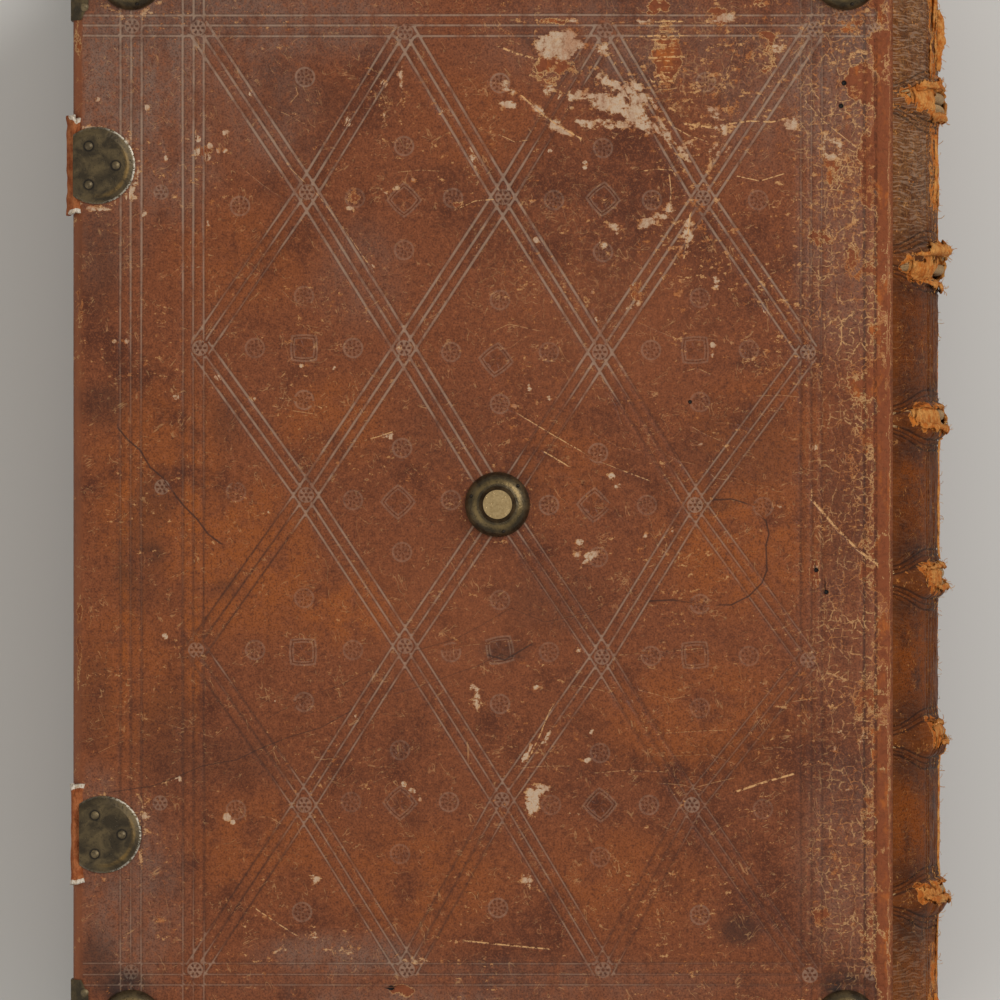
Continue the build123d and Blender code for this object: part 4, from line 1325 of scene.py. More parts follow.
    stains: tuple[Blot, ...] = blots(
        (125, 988, 26, 22, 0.9), (842, 985, 22, 20, 0.95), (505, 650, 26, 14, 0.5), (715, 505, 22, 10, 0.35),
        (152, 553, 15, 15, 0.62), (128, 577, 16, 14, 0.5), (224, 590, 14, 12, 0.42), (105, 405, 26, 24, 0.5),
        (155, 500, 24, 30, 0.35), (226, 425, 18, 30, 0.25), (140, 560, 30, 60, 0.28), (95, 700, 20, 60, 0.3),
        (560, 600, 60, 40, 0.25), (230, 760, 60, 30, 0.25), (500, 500, 52, 52, 0.22),
        (300, 100, 60, 30, 0.18), (740, 930, 24, 18, 0.6), (98, 960, 20, 40, 0.55), (880, 985, 20, 20, 0.5),
        (98, 262, 28, 62, 0.36), (165, 740, 34, 62, 0.30), (845, 500, 30, 95, 0.30),
        (740, 450, 62, 52, 0.24), (450, 430, 50, 50, 0.15))
    warm: tuple[Blot, ...] = blots(
        (160, 490, 80, 130, 0.55), (130, 680, 70, 100, 0.45), (345, 610, 60, 40, 0.75),
        (330, 420, 60, 50, 0.5), (250, 560, 80, 90, 0.7), (740, 540, 90, 80, 0.65), (760, 430, 80, 60, 0.45),
        (700, 720, 110, 70, 0.5), (560, 470, 60, 60, 0.35), (126, 560, 10, 190, 0.8),
        (193, 560, 12, 190, 0.8), (420, 880, 100, 60, 0.45), (260, 850, 90, 60, 0.4),
        (240, 260, 80, 60, 0.35), (620, 880, 90, 60, 0.4), (480, 120, 70, 60, 0.25))
    # grey film of dust, with a painted sheen of reflected light
    dust_and_sheen: tuple[Blot, ...] = blots(
        (120, 60, 110, 110, 0.80), (95, 230, 60, 60, 0.28), (250, 20, 180, 50, 0.6),
        (160, 150, 70, 80, 0.45), (620, 40, 160, 60, 0.35), (830, 60, 70, 120, 0.6),
        (840, 250, 50, 120, 0.42), (130, 900, 60, 110, 0.5), (340, 955, 90, 25, 0.6),
        (850, 640, 50, 110, 0.12), (760, 90, 60, 90, 0.35), (850, 860, 60, 120, 0.35),
        (96, 800, 30, 40, 0.4), (500, 985, 300, 30, 0.25), (265, 110, 60, 70, 0.34),
        (405, 1004, 120, 22, 0.6), (360, 275, 50, 60, 0.25))
    rubbed: tuple[Blot, ...] = blots(
        (880, 100, 12, 90, 0.9), (882, 300, 11, 160, 0.9), (882, 600, 10, 200, 0.85),
        (881, 880, 10, 160, 0.8), (74, 250, 7, 300, 0.7), (74, 700, 7, 300, 0.7), (600, 320, 120, 90, 0.2),
        (450, 620, 120, 80, 0.2))
    # wormholes, painted as dark spots of shade rather than cut through
    wormholes: tuple[Blot, ...] = blots(
        (844, 83, 2.6, 2.6, 1.5), (841, 106, 2.6, 2.4, 1.5), (816, 570, 2.4, 2.4, 1.5),
        (826, 592, 2.6, 2.4, 1.5), (690, 402, 2.0, 2.0, 1.4), (391, 988, 3.2, 2.6, 1.5))
    # half width in millimetres, strength, then x and y of each point
    scratches: tuple[tuple[float, ...], ...] = (
        (0.75, 1.0, 812, 500, 838, 530, 858, 550, 878, 565), (0.7, 0.9, 735, 792, 765, 782, 797, 773),
        (0.6, 0.8, 466, 941, 505, 945, 548, 949), (0.4, 0.75, 507, 407, 548, 432, 600, 462, 648, 480),
        (0.5, 0.8, 543, 451, 570, 467), (0.35, 0.6, 290, 168, 318, 195, 345, 230, 374, 272),
        (0.3, 0.6, 620, 655, 660, 652, 705, 648), (0.4, 0.8, 455, 210, 475, 201, 497, 199),
        (0.5, 0.7, 256, 909, 280, 925, 296, 935), (0.3, 0.6, 738, 40, 728, 70, 716, 95),
        (0.25, 0.4, 585, 560, 560, 600, 548, 640), (0.5, 0.9, 690, 215, 688, 235, 684, 258),
        (0.4, 0.7, 805, 100, 822, 120, 860, 150), (0.55, 0.9, 522, 96, 542, 114, 556, 124, 580, 138),
        (0.6, 0.7, 550, 710, 540, 735, 528, 760), (0.3, 0.5, 120, 182, 128, 170, 131, 150),
        (0.3, 0.5, 430, 650, 470, 645, 520, 640), (0.7, 0.9, 500, 47, 518, 54, 537, 59),
        (0.6, 0.9, 687, 124, 700, 126, 712, 128), (0.5, 0.9, 728, 124, 750, 121, 772, 122, 787, 118),
        (0.4, 0.8, 638, 172, 655, 169, 672, 170), (0.4, 0.8, 669, 172, 671, 190, 670, 210),
        (0.4, 0.85, 737, 176, 760, 181, 783, 174), (0.3, 0.7, 500, 135, 515, 142, 528, 140),
        (0.4, 0.8, 672, 126, 690, 136, 706, 141), (0.4, 0.8, 395, 431, 380, 436, 366, 440),
        (0.4, 0.7, 322, 408, 302, 400, 280, 398), (0.3, 0.42, 608, 393, 616, 405, 621, 422),
        (0.35, 0.46, 595, 434, 621, 448, 640, 450), (0.3, 0.46, 667, 455, 680, 461, 694, 464),
        (0.35, 0.52, 706, 469, 715, 478, 728, 480), (0.3, 0.46, 727, 475, 752, 485, 773, 487),
        (0.35, 0.52, 694, 428, 707, 435, 719, 440), (0.3, 0.42, 715, 422, 737, 424, 760, 431),
        (0.35, 0.52, 756, 396, 780, 395, 799, 397), (0.3, 0.42, 775, 481, 799, 472, 808, 474),
        (0.6, 0.52, 683, 372, 697, 368, 710, 374), (0.4, 0.52, 496, 330, 509, 324, 540, 331),
        (0.3, 0.46, 640, 323, 679, 340, 693, 334), (0.4, 0.52, 579, 686, 592, 688, 608, 692),
        (0.35, 0.52, 639, 690, 655, 694, 673, 699, 690, 695), (0.4, 0.52, 666, 733, 700, 731, 726, 730),
        (0.35, 0.46, 673, 756, 710, 754, 735, 764), (0.4, 0.52, 522, 768, 545, 766, 569, 766),
        (0.45, 0.52, 595, 773, 630, 770, 666, 772), (0.35, 0.52, 660, 783, 684, 785, 707, 792),
        (0.4, 0.52, 697, 787, 716, 782, 734, 778), (0.35, 0.46, 705, 747, 712, 756, 718, 763),
        (0.4, 0.46, 756, 749, 775, 747, 791, 749), (0.4, 0.52, 789, 702, 803, 700, 817, 698),
        (0.35, 0.46, 142, 717, 170, 725, 213, 737), (0.35, 0.46, 95, 754, 112, 746, 124, 741),
        (0.4, 0.52, 268, 106, 288, 115, 307, 125), (0.35, 0.46, 247, 172, 263, 185, 281, 197),
        (0.5, 0.52, 295, 85, 298, 94, 291, 102), (0.45, 0.52, 399, 172, 420, 170, 438, 171),
        (0.25, 0.42, 146, 107, 148, 120, 161, 133, 166, 154), (0.3, 0.46, 283, 291, 293, 302, 312, 307),
        (0.3, 0.46, 320, 297, 335, 291, 345, 280), (0.45, 0.52, 273, 406, 295, 411, 315, 414),
        (0.4, 0.52, 260, 817, 270, 817, 281, 824))
    # left, right, top, bottom and step of a row of short scratches
    ladder: tuple[float, ...] = (651.0, 684.0, 21.0, 94.0, 4.6)
    # strength, then x and y of each point
    cracks: tuple[tuple[float, ...], ...] = (
        (0.9, 650, 601, 672, 600, 697, 604, 731, 605, 749, 596, 762, 583, 767, 570, 766, 545, 769, 534, 766,
         521, 756, 513, 755, 506, 742, 502, 731, 499, 713, 500),
        (0.95, 118, 428, 128, 440, 140, 450, 150, 467, 163, 478, 176, 496, 184, 506, 197, 519, 208, 534, 220,
         543),
        (0.5, 358, 588, 354, 606, 351, 622, 342, 627, 333, 623, 326, 611, 327, 587),
        (0.7, 111, 792, 153, 786, 179, 776, 202, 766, 236, 760, 257, 750, 289, 737, 320, 728, 351, 711),
        (0.5, 119, 763, 166, 749, 176, 745), (0.6, 268, 718, 286, 708, 312, 695, 341, 685, 372, 670),
        (0.6, 393, 694, 425, 685, 451, 675, 477, 666, 500, 655, 524, 658),
        (0.6, 414, 651, 456, 639, 480, 626, 511, 608, 545, 622, 569, 617, 595, 611, 619, 596, 637, 590),
        (0.9, 488, 655, 505, 660, 530, 645), (0.4, 560, 470, 600, 500, 640, 530),
        (0.3, 230, 425, 236, 470, 228, 520))
    dulled: tuple[Blot, ...] = blots(
        (250, 575, 60, 92, 0.85), (250, 272, 50, 66, 0.45), (245, 735, 56, 74, 0.45),
        (552, 432, 42, 62, 0.5), (650, 430, 50, 70, 0.55), (556, 112, 40, 76, 0.5), (555, 585, 50, 66, 0.3),
        (250, 890, 56, 74, 0.6), (455, 890, 60, 74, 0.5), (650, 735, 60, 70, 0.45), (355, 112, 40, 70, 0.25),
        (640, 890, 60, 80, 0.5))
    haloes: tuple[Halo, ...] = (
        Halo(162, 929, 10, 4, 0.42), Halo(261, 938, 22, 5, 0.40), Halo(831, 148, 9, 4, 0.55),
        Halo(98, 168, 41, 5, 0.56), Halo(105, 837, 41, 5, 0.42), Halo(497, 505, 37, 5, 0.40),
        Halo(131, -19, 36, 6, 0.45))

    @staticmethod
    def spots(places: Iterable[tuple[float, float, float]], strength: float) -> tuple[Blot, ...]:
        """Small ovals of one strength from x, y and reach."""
        return blots(*((x, y, reach * (0.75 + 0.25 * sin(x)), reach * (0.75 + 0.25 * cos(y)), strength,
                        9.0 * (x % 20))
                       for x, y, reach in places))

    def fine_places(self) -> list[np.ndarray]:
        """Rings of places that give each small spot and hole its own vertices, in millimetres."""
        found = []
        holes = [(blot.x, blot.y, blot.reach_x) for blot in self.wormholes]
        for x, y, reach in list(self.chips) + list(self.spalls) + holes:
            ring = [(x, y)] + [(x + reach * share * cos(turn), y + reach * share * sin(turn))
                               for share in (0.5, 0.85, 1.25) for turn in np.arange(9) * 0.7 + share]
            found.append(from_pixels(ring))
        return found

    def tracks(self) -> list[Track]:
        """The single scratches and splits of the back cover."""
        found = []
        for width, share, *path in self.scratches:
            line = from_pixels(np.reshape(path, (-1, 2)))
            found.append(Track(line, half_width=width, depth=0.06, light=0.0, scratch=share))
        for share, *path in self.cracks:
            line = from_pixels(np.reshape(path, (-1, 2)))
            found.append(Track(line, half_width=0.15 + 0.6 * share, depth=0.08, light=0.0, crack=share))
        left, right, top, bottom, step = self.ladder
        rng = np.random.default_rng(19)
        for y in np.arange(top, bottom, step):
            x0, y0 = left + rng.uniform(-2, 14), y + rng.uniform(-1.4, 1.4)
            x1 = max(x0 + 9, right - rng.uniform(-2, 15) - 9 * (y > 70))
            path = wavy(*from_pixels([(x0, y0), ((x0 + x1) / 2, y0 + rng.uniform(-1, 1))]), 0.25, int(y))
            path = np.vstack([path, from_pixels([(x1, y0 + rng.uniform(-1.5, 1.5))])])
            width, share = rng.uniform(0.3, 0.75), rng.uniform(0.5, 1.0)
            found.append(Track(path, half_width=width, depth=0.06, light=0.0, scratch=share))
        return found


@dataclass
class CoverSkin:
    """The leather of one cover: tooled face, bevels, edges, turn-ins and a lip that bends into the joint."""

    sizes: BookSizes
    side: Side
    bevel: float = 3.70
    thickness: float = 1.2
    lip: float = 1.3
    inset_rows: tuple[float, ...] = (
        3.35, 2.95, 1.9, 0.85, 0.32, 0.06, 0.0, 0.0, 0.0, 0.25, 0.9, 6.0, 18.0, 18.0)
    drop_rows: tuple[float, ...] = (
        0.05, 0.35, 1.55, 2.75, 3.45, 4.3, 6.5, 9.0, 11.0, 11.6, 11.8, 11.8, 11.8, 11.2)

    def bend(self, reach: np.ndarray) -> tuple[np.ndarray, np.ndarray, np.ndarray]:
        """Follows the skin across the joint, from the flat cover down the spine.

        Args:
            reach: Distance past the hinge along the skin, negative on the cover.

        Returns:
            Distance out, drop and turning angle at each reach.
        """
        slope = atan2(self.sizes.hinge_x - self.sizes.spine_centre_x, self.sizes.half_thickness)
        steps = np.arange(-2.0, 8.0, 0.02)
        angle = slope * ease(-1.3, 1.1, steps) + np.maximum(steps, 0) / self.sizes.spine_radius
        out = np.cumsum(np.cos(angle)) * 0.02 - 2.0
        down = np.cumsum(np.sin(angle)) * 0.02
        out, down, angle = (np.interp(reach, steps, values, left=0) for values in (out, down, angle))
        return out, down, angle

    def place(self, flat: np.ndarray, height: np.ndarray) -> np.ndarray:
        """Moves points of the flat sheet to where they lie on the book."""
        reach = flat[:, 0] - self.sizes.hinge_x
        out, down, angle = self.bend(reach)
        x = np.where(reach < -2.0, flat[:, 0], self.sizes.hinge_x + out) + height * np.sin(angle)
        z = -down + height * np.cos(angle)
        if self.side is Side.BACK:
            return np.column_stack([x, flat[:, 1], self.sizes.back_z + z])
        return np.column_stack([x, -flat[:, 1], self.sizes.front_z - z])

    def build(self, sheet: Sheet, masks: Callable[[np.ndarray, dict], dict], material: Material) -> Object:
        """Builds the whole skin as one closed mesh.

        Args:
            sheet: The flat, tooled face.
            masks: Works out the painted wear from flat places and tooling.
            material: The leather.

        Returns:
            The finished skin.
        """
        flat, faces, rim = sheet.triangulate()
        tooled = sheet.tooling(flat)
        (x0, _), (x1, y1) = sheet.low, sheet.high
        margin = np.minimum(flat[:, 0] - x0, y1 - np.abs(flat[:, 1]))
        swell = waves(flat, 0.11, 3) * ease(0.0, 12.0, margin) + 0.02
        height = tooled["height"] * ease(0.0, 1.5, margin) + swell
        outer = np.array([(x, y) for x, y in flat[rim]])
        normal = self.outward(outer, sheet)
        edge_height = height[rim]
        in_strip = ease(self.sizes.hinge_x - 2.2, self.sizes.hinge_x - 0.2, outer[:, 0])
        rings, drops, spread = [], [], []
        travelled, last = 0.0, (self.bevel, 0.0)
        for inset, drop in zip(self.inset_rows, self.drop_rows):
            travelled += hypot(inset - last[0], drop - last[1])
            last = (inset, drop)
            spread.append(outer + normal * travelled)
            shift = np.maximum(self.bevel - inset, 0)
            ring = outer + normal * shift
            if inset > self.bevel:
                ring = self.pulled_in(outer + normal * self.bevel, inset)
            thin = min(drop / 3.0, 1.0) * self.thickness
            drops.append(-(drop * (1 - in_strip) + thin * in_strip) + edge_height * (drop < 0.1))
            rings.append(ring)
        for inset, drop in ((self.thickness, 11.2), (self.thickness, 4.1),
                            (self.bevel + 0.5, self.thickness)):
            rings.append(self.pulled_in(outer + normal * self.bevel, inset))
            spread.append(spread[-1] + normal * 8.0)
            drops.append(-(drop * (1 - in_strip) + self.thickness * in_strip))
        count = len(rim)
        all_flat = np.vstack([flat] + rings)
        all_height = np.concatenate([height] + drops)
        start = len(flat)
        quads = []
        before = list(rim)
        for number in range(len(rings)):
            after = list(range(start + number * count, start + (number + 1) * count))
            quads += [(before[i], after[i], after[i + 1], before[i + 1]) for i in range(count - 1)]
            before = after
        columns = int((x1 - x0) / sheet.pitch)
        top_row, bottom_row = before[: columns], before[-columns:][::-1]
        quads += [(top_row[i], bottom_row[i], bottom_row[i + 1], top_row[i + 1]) for i in range(columns - 1)]
        quads.append(tuple(before[columns - 1: count - columns + 1]))
        head_end = [rim[0]] + [start + n * count for n in range(len(rings))]
        tail_end = [rim[-1]] + [start + (n + 1) * count - 1 for n in range(len(rings))]
        spine_side = self.spine_edge(flat, x1)
        quads.append(tuple(spine_side[1:-1] + head_end + tail_end[::-1]))
        places = self.place(all_flat, all_height)
        made = make_object(f"{self.side.value}_leather_skin", places, faces + quads, [material])
        extended = {name: np.concatenate([values, np.zeros((len(places) - len(flat),) + values.shape[1:])])
                    for name, values in tooled.items() if name != "local"}
        for name, columns_of in masks(all_flat, extended).items():
            paint(made, name, columns_of)
        paint_vector(made, "stamp", tooled["local"])
        spread_flat = np.vstack([flat] + spread)
        paint_vector(made, "flat", np.column_stack([spread_flat, np.zeros(len(spread_flat))]) * MM)
        recalculate(made)
        return made

    @staticmethod
    def spine_edge(flat: np.ndarray, x1: float) -> list[int]:
        """Vertices on the sheet's edge at the spine, from tail to head."""
        on_edge = np.where(np.abs(flat[:, 0] - x1) < 1e-3)[0]
        return list(on_edge[np.argsort(flat[on_edge, 1])])

    def outward(self, outer: np.ndarray, sheet: Sheet) -> np.ndarray:
        """Direction away from the sheet at each point of its outline."""
        (x0, y0), (_, y1) = sheet.low, sheet.high
        normal = np.zeros_like(outer)
        normal[outer[:, 1] > y1 - 1e-6] = (0, 1)
        normal[outer[:, 1] < y0 + 1e-6] = (0, -1)
        normal[outer[:, 0] < x0 + 1e-6] = (-1, 0)
        arc = np.all(normal == 0, axis=1)
        centre = np.column_stack([np.full(arc.sum(), x0 + sheet.corner),
                                  np.sign(outer[arc, 1]) * (y1 - sheet.corner)])
        away = outer[arc] - centre
        normal[arc] = away / np.linalg.norm(away, axis=1)[:, None]
        return normal

    def pulled_in(self, edge: np.ndarray, inset: float) -> np.ndarray:
        """The outer edge's points pulled in by one inset on all three sides."""
        half = self.sizes.half_height - inset
        return np.column_stack([np.maximum(edge[:, 0], self.sizes.fore_x + inset),
                                np.clip(edge[:, 1], -half, half)])


def recalculate(made: Object) -> None:
    """Points all faces of a closed mesh outwards."""
    work = bmesh.new()
    work.from_mesh(made.data)
    bmesh.ops.recalc_face_normals(work, faces=work.faces)
    work.to_mesh(made.data)
    work.free()


def back_masks(sizes: BookSizes, wear: BackWear) -> Callable[[np.ndarray, dict], dict]:
    """Makes the function that paints the back cover's wear."""

    def masks(flat: np.ndarray, tooled: dict) -> dict:
        """Wear at each flat place, by attribute name."""
        pixels = to_pixels(flat)
        edge = np.minimum(flat[:, 0] - sizes.fore_x, sizes.half_height - np.abs(flat[:, 1]))
        bevel = 1 - ease(2.4, 4.2, edge)
        x, y = pixels[:, 0], pixels[:, 1]
        far = 1 - 0.30 * ease(250, 880, y)
        far *= 1 - 0.30 * ease(580, 820, x) * ease(200, 420, y)
        far *= 1 - 0.35 * ease(240, 420, y) * (x < 215) * (1 - ease(820, 900, y))
        far *= 1 - painted(wear.dulled, pixels)
        upper_right = ease(420, 700, x) * ease(430, 200, y)
        clump = ease(-0.25, 0.7, waves(flat, 1.0, 21, 46.0))
        joint = (0.42 * ease(858, 872, x) + 0.33 * ease(872, 880, x)) * (0.92 + waves(flat, 0.24, 33, 26.0))
        rough = np.maximum.reduce([painted(wear.flakes, pixels), joint * (x < 892), bevel * 0.30])
        chips = 0.12 + 0.09 * upper_right + 0.05 * ease(480, 820, x) + 0.11 * clump
        spotted = wear.scuffs + wear.spots(wear.chips, 0.62) + wear.spots(wear.spalls, 0.50)
        scuffed = np.maximum(painted(spotted, pixels), chips * (1 - 0.8 * ease(868, 880, x)))
        hidden = 1 - 0.8 * ease(0.5, 0.65, scuffed)
        haloes = painted(wear.haloes, pixels)
        light = tooled["light"] * far * hidden
        shade = 1 - 0.5 * ease(400, 560, x) * ease(330, 420, y)
        stamped = (0.80 + waves(flat, 0.22, 57, 70.0)) * (0.62 + 0.38 * far)
        return {
            "tooling": [light, np.maximum(tooled["dark"], tooled["light"] * (1 - far) * shade) * hidden,
                        tooled["fade"] * stamped],
            "wear": [np.maximum(scuffed, haloes), rough, painted(wear.crackle, pixels),
                     np.maximum(painted(wear.stains, pixels), 0.42 * (1 - ease(0.1, 1.2, edge)))],
            "tint": [painted(wear.warm, pixels), painted(wear.dust_and_sheen, pixels) * (1 - bevel),
                     np.maximum(painted(wear.rubbed, pixels), bevel * 0.8)],
            "scars": [tooled["scratch"], tooled["crack"], painted(wear.wormholes, pixels)],
        }

    return masks


@dataclass
class FrontTooling:
    """The front cover's plainer tooling: two frames of triple fillets and a saltire in the middle panel."""

    sizes: BookSizes
    margin: float = 21.2
    step: float = 22.6
    pitch: float = 3.8

    def tracks(self) -> list[Track]:
        """All tooled lines of the front cover."""
        found = []
        left, right = self.sizes.fore_x + self.margin, self.sizes.hinge_x - self.margin / 2
        top = self.sizes.half_height - self.margin
        shifts = (-self.pitch, 0.0, self.pitch)
        seed = 200
        for frame_inset in (0.0, self.step):
            for shift in shifts:
                x0, x1 = left + frame_inset + shift, right - frame_inset + shift
                y1 = top - frame_inset + shift
                upright = ((x0, -top), (x0, top)), ((x1, -top), (x1, top))
                level = ((left, y1), (right, y1)), ((left, -y1), (right, -y1))
                for start, end in upright + level:
                    found.append(Track(wavy(start, end, 0.15, seed), light=0.7, dark=0.2))
                    seed += 1
        x0, x1 = left + self.step + self.pitch, right - self.step - self.pitch
        y1 = top - self.step - self.pitch
        for start, end in (((x0, -y1), (x1, y1)), ((x0, y1), (x1, -y1))):
            middle = wavy(start, end, 0.15, seed)
            found += [Track(offset_path(middle, shift), light=0.8) for shift in shifts]
        return found

    def stamps(self) -> list[Stamp]:
        """Rosettes along the front cover's frame."""
        left = self.sizes.fore_x + self.margin + self.step / 2
        right = self.sizes.hinge_x - self.margin / 2 - self.step / 2
        top = self.sizes.half_height - self.margin - self.step / 2
        places = [(x, y) for x in (left, right) for y in np.linspace(-top + 28, top - 28, 9)]
        places += [(x, y) for y in (top, -top) for x in np.linspace(left + 28, right - 28, 6)]
        return [Stamp(place, 3.4, StampKind.ROUNDEL, fade=0.7) for place in places]


def front_masks(sizes: BookSizes) -> Callable[[np.ndarray, dict], dict]:
    """Makes the function that paints the front cover's wear."""
    rng = np.random.default_rng(77)
    scuffs = [Blot(rng.uniform(120, 860), rng.uniform(-60, 1060), rng.uniform(8, 34), rng.uniform(6, 16),
                   rng.uniform(0.4, 0.6), rng.uniform(-60, 60)) for _ in range(34)]
    # patches of grey film: dust, with a painted sheen of reflected light
    dust_and_sheen_patches = [Blot(rng.uniform(80, 880), rng.uniform(-60, 1060), rng.uniform(50, 120), rng.uniform(40, 120),
                  0.4)
             for _ in range(9)]
    warms = [Blot(rng.uniform(80, 880), rng.uniform(-60, 1060), rng.uniform(60, 130), rng.uniform(50, 120),
                  0.6)
             for _ in range(12)]

    def masks(flat: np.ndarray, tooled: dict) -> dict:
        """Wear at each flat place, by attribute name."""
        pixels = to_pixels(flat)
        edge = np.minimum(flat[:, 0] - sizes.fore_x, sizes.half_height - np.abs(flat[:, 1]))
        bevel = 1 - ease(2.4, 4.2, edge)
        joint = ease(sizes.hinge_x - 22, sizes.hinge_x - 4, flat[:, 0])
        none = np.zeros(len(flat))
        return {
            "tooling": [tooled["light"], tooled["dark"], tooled["fade"]],
            "wear": [painted(scuffs, pixels), bevel * 0.32 + joint * 0.44, joint * 0.9,
                     0.42 * (1 - ease(0.1, 1.2, edge))],
            "tint": [painted(warms, pixels), painted(dust_and_sheen_patches, pixels), np.maximum(bevel, joint) * 0.7],
            "scars": [tooled["scratch"], tooled["crack"], none],
        }

    return masks


@dataclass(frozen=True)
class BandTear:
    """One torn place on a raised band, and the lip of leather curled back beside it."""

    low_pixel: float
    high_pixel: float
    start: float
    end: float
    lip: float = 1.2
    side: int = 1
    bed: float = 0.6

    @property
    def across(self) -> tuple[float, float]:
        """Lowest and highest Y of the tear in millimetres."""
        low, high = from_pixels([(0, self.high_pixel), (0, self.low_pixel)])[:, 1]
        return low, high


@dataclass(frozen=True)
class Ridge:
    """A torn lip that runs along the spine, in pixels of the photograph down its length."""

    low_pixel: float
    high_pixel: float
    around: float
    lip: float
    side: int = 1


@dataclass
class SpineSkin:
    """The leather of the rounded spine, drawn over six raised bands and torn on each."""

    sizes: BookSizes
    band_rise: float = 3.2
    thickness: float = 1.15
    tears: tuple[BandTear, ...] = (
        BandTear(80, 114, 13.0, 60.0, 2.5, 1, 0.50), BandTear(248, 284, 12.0, 62.0, 3.0, 1, 0.52),
        BandTear(402, 431, 13.5, 58.0, 1.2, -1, 0.72), BandTear(563, 590, 19.0, 64.0, 1.2, 1, 0.62),
        BandTear(722, 747, 24.0, 60.0, 1.1, 1, 0.7), BandTear(885, 907, 17.0, 66.0, 1.1, -1, 0.6))
    ridges: tuple[Ridge, ...] = (
        Ridge(-40, 30, 36.0, 1.5), Ridge(2, 64, 44.0, 2.3, -1), Ridge(30, 74, 30.0, 1.0),
        Ridge(-20, 70, 39.0, 1.2), Ridge(116, 240, 45.0, 1.0), Ridge(130, 200, 38.0, 0.6, -1),
        Ridge(296, 398, 49.0, 0.5), Ridge(436, 560, 50.0, 0.4, -1), Ridge(594, 720, 50.0, 0.4),
        Ridge(752, 882, 50.0, 0.4, -1), Ridge(912, 1000, 42.0, 1.0), Ridge(1000, 1060, 36.0, 1.4, -1))

    @property
    def length(self) -> float:
        """Distance round the spine from joint to joint."""
        return 2 * self.start_angle * self.sizes.spine_radius

    @property
    def start_angle(self) -> float:
        """Angle above the spine's middle at which the joint lies."""
        return atan2(self.sizes.half_thickness, self.sizes.hinge_x - self.sizes.spine_centre_x)

    def lean(self, around: np.ndarray) -> np.ndarray:
        """How far from the nearer joint a place lies, eased from 0 to 1."""
        return ease(0.0, 26.0, np.minimum(around, self.length - around))

    def tracks(self) -> list[Track]:
        """The dark double fillets beside each band, the creases at the joints and the long splits."""
        found = []
        around = np.linspace(0.8, self.length - 0.8, 24)
        lean = self.lean(around)
        rng = np.random.default_rng(12)
        for band in self.sizes.bands:
            for near_joint, on_crest, strength in ((2.0, 6.9, 1.0), (3.4, 8.9, 0.8), (4.8, 11.0, 1.0)):
                for side in (-1, 1):
                    away = near_joint + (on_crest - near_joint) * lean
                    path = np.column_stack([around, band + side * away])
                    found.append(Track(path, half_width=0.72, depth=0.42, light=0.0, dark=strength))
            for side in (-1, 1):
                for step in range(4):
                    reach = rng.uniform(7, 15)
                    start = np.array([0.9, band + side * (1.0 + step * 1.4)])
                    end = start + np.array([reach, side * reach * rng.uniform(0.25, 0.6)])
                    found.append(Track(np.array([start, end]), half_width=0.3, depth=0.18, light=0.65))
        for number, x in enumerate((26.0, 29.0, 33.5, 38.0)):
            path = wavy((x, -206), (x + 1.5, 206), 1.6, 90 + number)
            found.append(Track(path, half_width=0.42, depth=0.35, light=0.0, scratch=0.45 + 0.12 * number))
        return found

    def rise(self, flat: np.ndarray) -> np.ndarray:
        """Height of the raised bands above the round of the spine."""
        lean = self.lean(flat[:, 0])
        total = np.zeros(len(flat))
        for band in self.sizes.bands:
            half = 2.6 + 3.9 * lean
            gap = np.abs(flat[:, 1] - band)
            crest = np.clip(1 - (gap / half) ** 2, 0, 1) ** 0.5
            foot = np.exp(-((gap / (half + 3.0)) ** 4)) * 0.22
            total = np.maximum(total, (crest * 0.86 + foot) * self.band_rise * (0.10 + 0.90 * lean))
        return total

    def torn_edges(self) -> list[np.ndarray]:
        """A ragged outline for the tear on each band."""
        rng = np.random.default_rng(31)
        found = []
        for tear in self.tears:
            low, high = tear.across
            middle = np.array([(tear.start + tear.end) / 2, (low + high) / 2])
            angles = np.linspace(0, 2 * pi, 56, endpoint=False)
            broad, fine = rng.uniform(0, 6), rng.uniform(0, 6)
            ragged = 1 + 0.16 * np.sin(3 * angles + broad) + 0.10 * np.sin(7 * angles + fine)
            ragged += rng.uniform(-0.09, 0.09, len(angles))
            half = np.array([(tear.end - tear.start) / 2, (high - low) / 2 * 0.86])
            ring = np.column_stack([np.cos(angles), np.sin(angles)])
            squarish = np.sign(ring) * np.abs(ring) ** 0.6
            found.append(middle + squarish * half * ragged[:, None])
        return found

    def place(self, flat: np.ndarray, height: np.ndarray) -> np.ndarray:
        """Bends flat places round the spine."""
        angle = self.start_angle - flat[:, 0] / self.sizes.spine_radius
        radius = self.sizes.spine_radius + height
        return np.column_stack([self.sizes.spine_centre_x + radius * np.cos(angle), flat[:, 1],
                                self.sizes.middle_z + radius * np.sin(angle)])

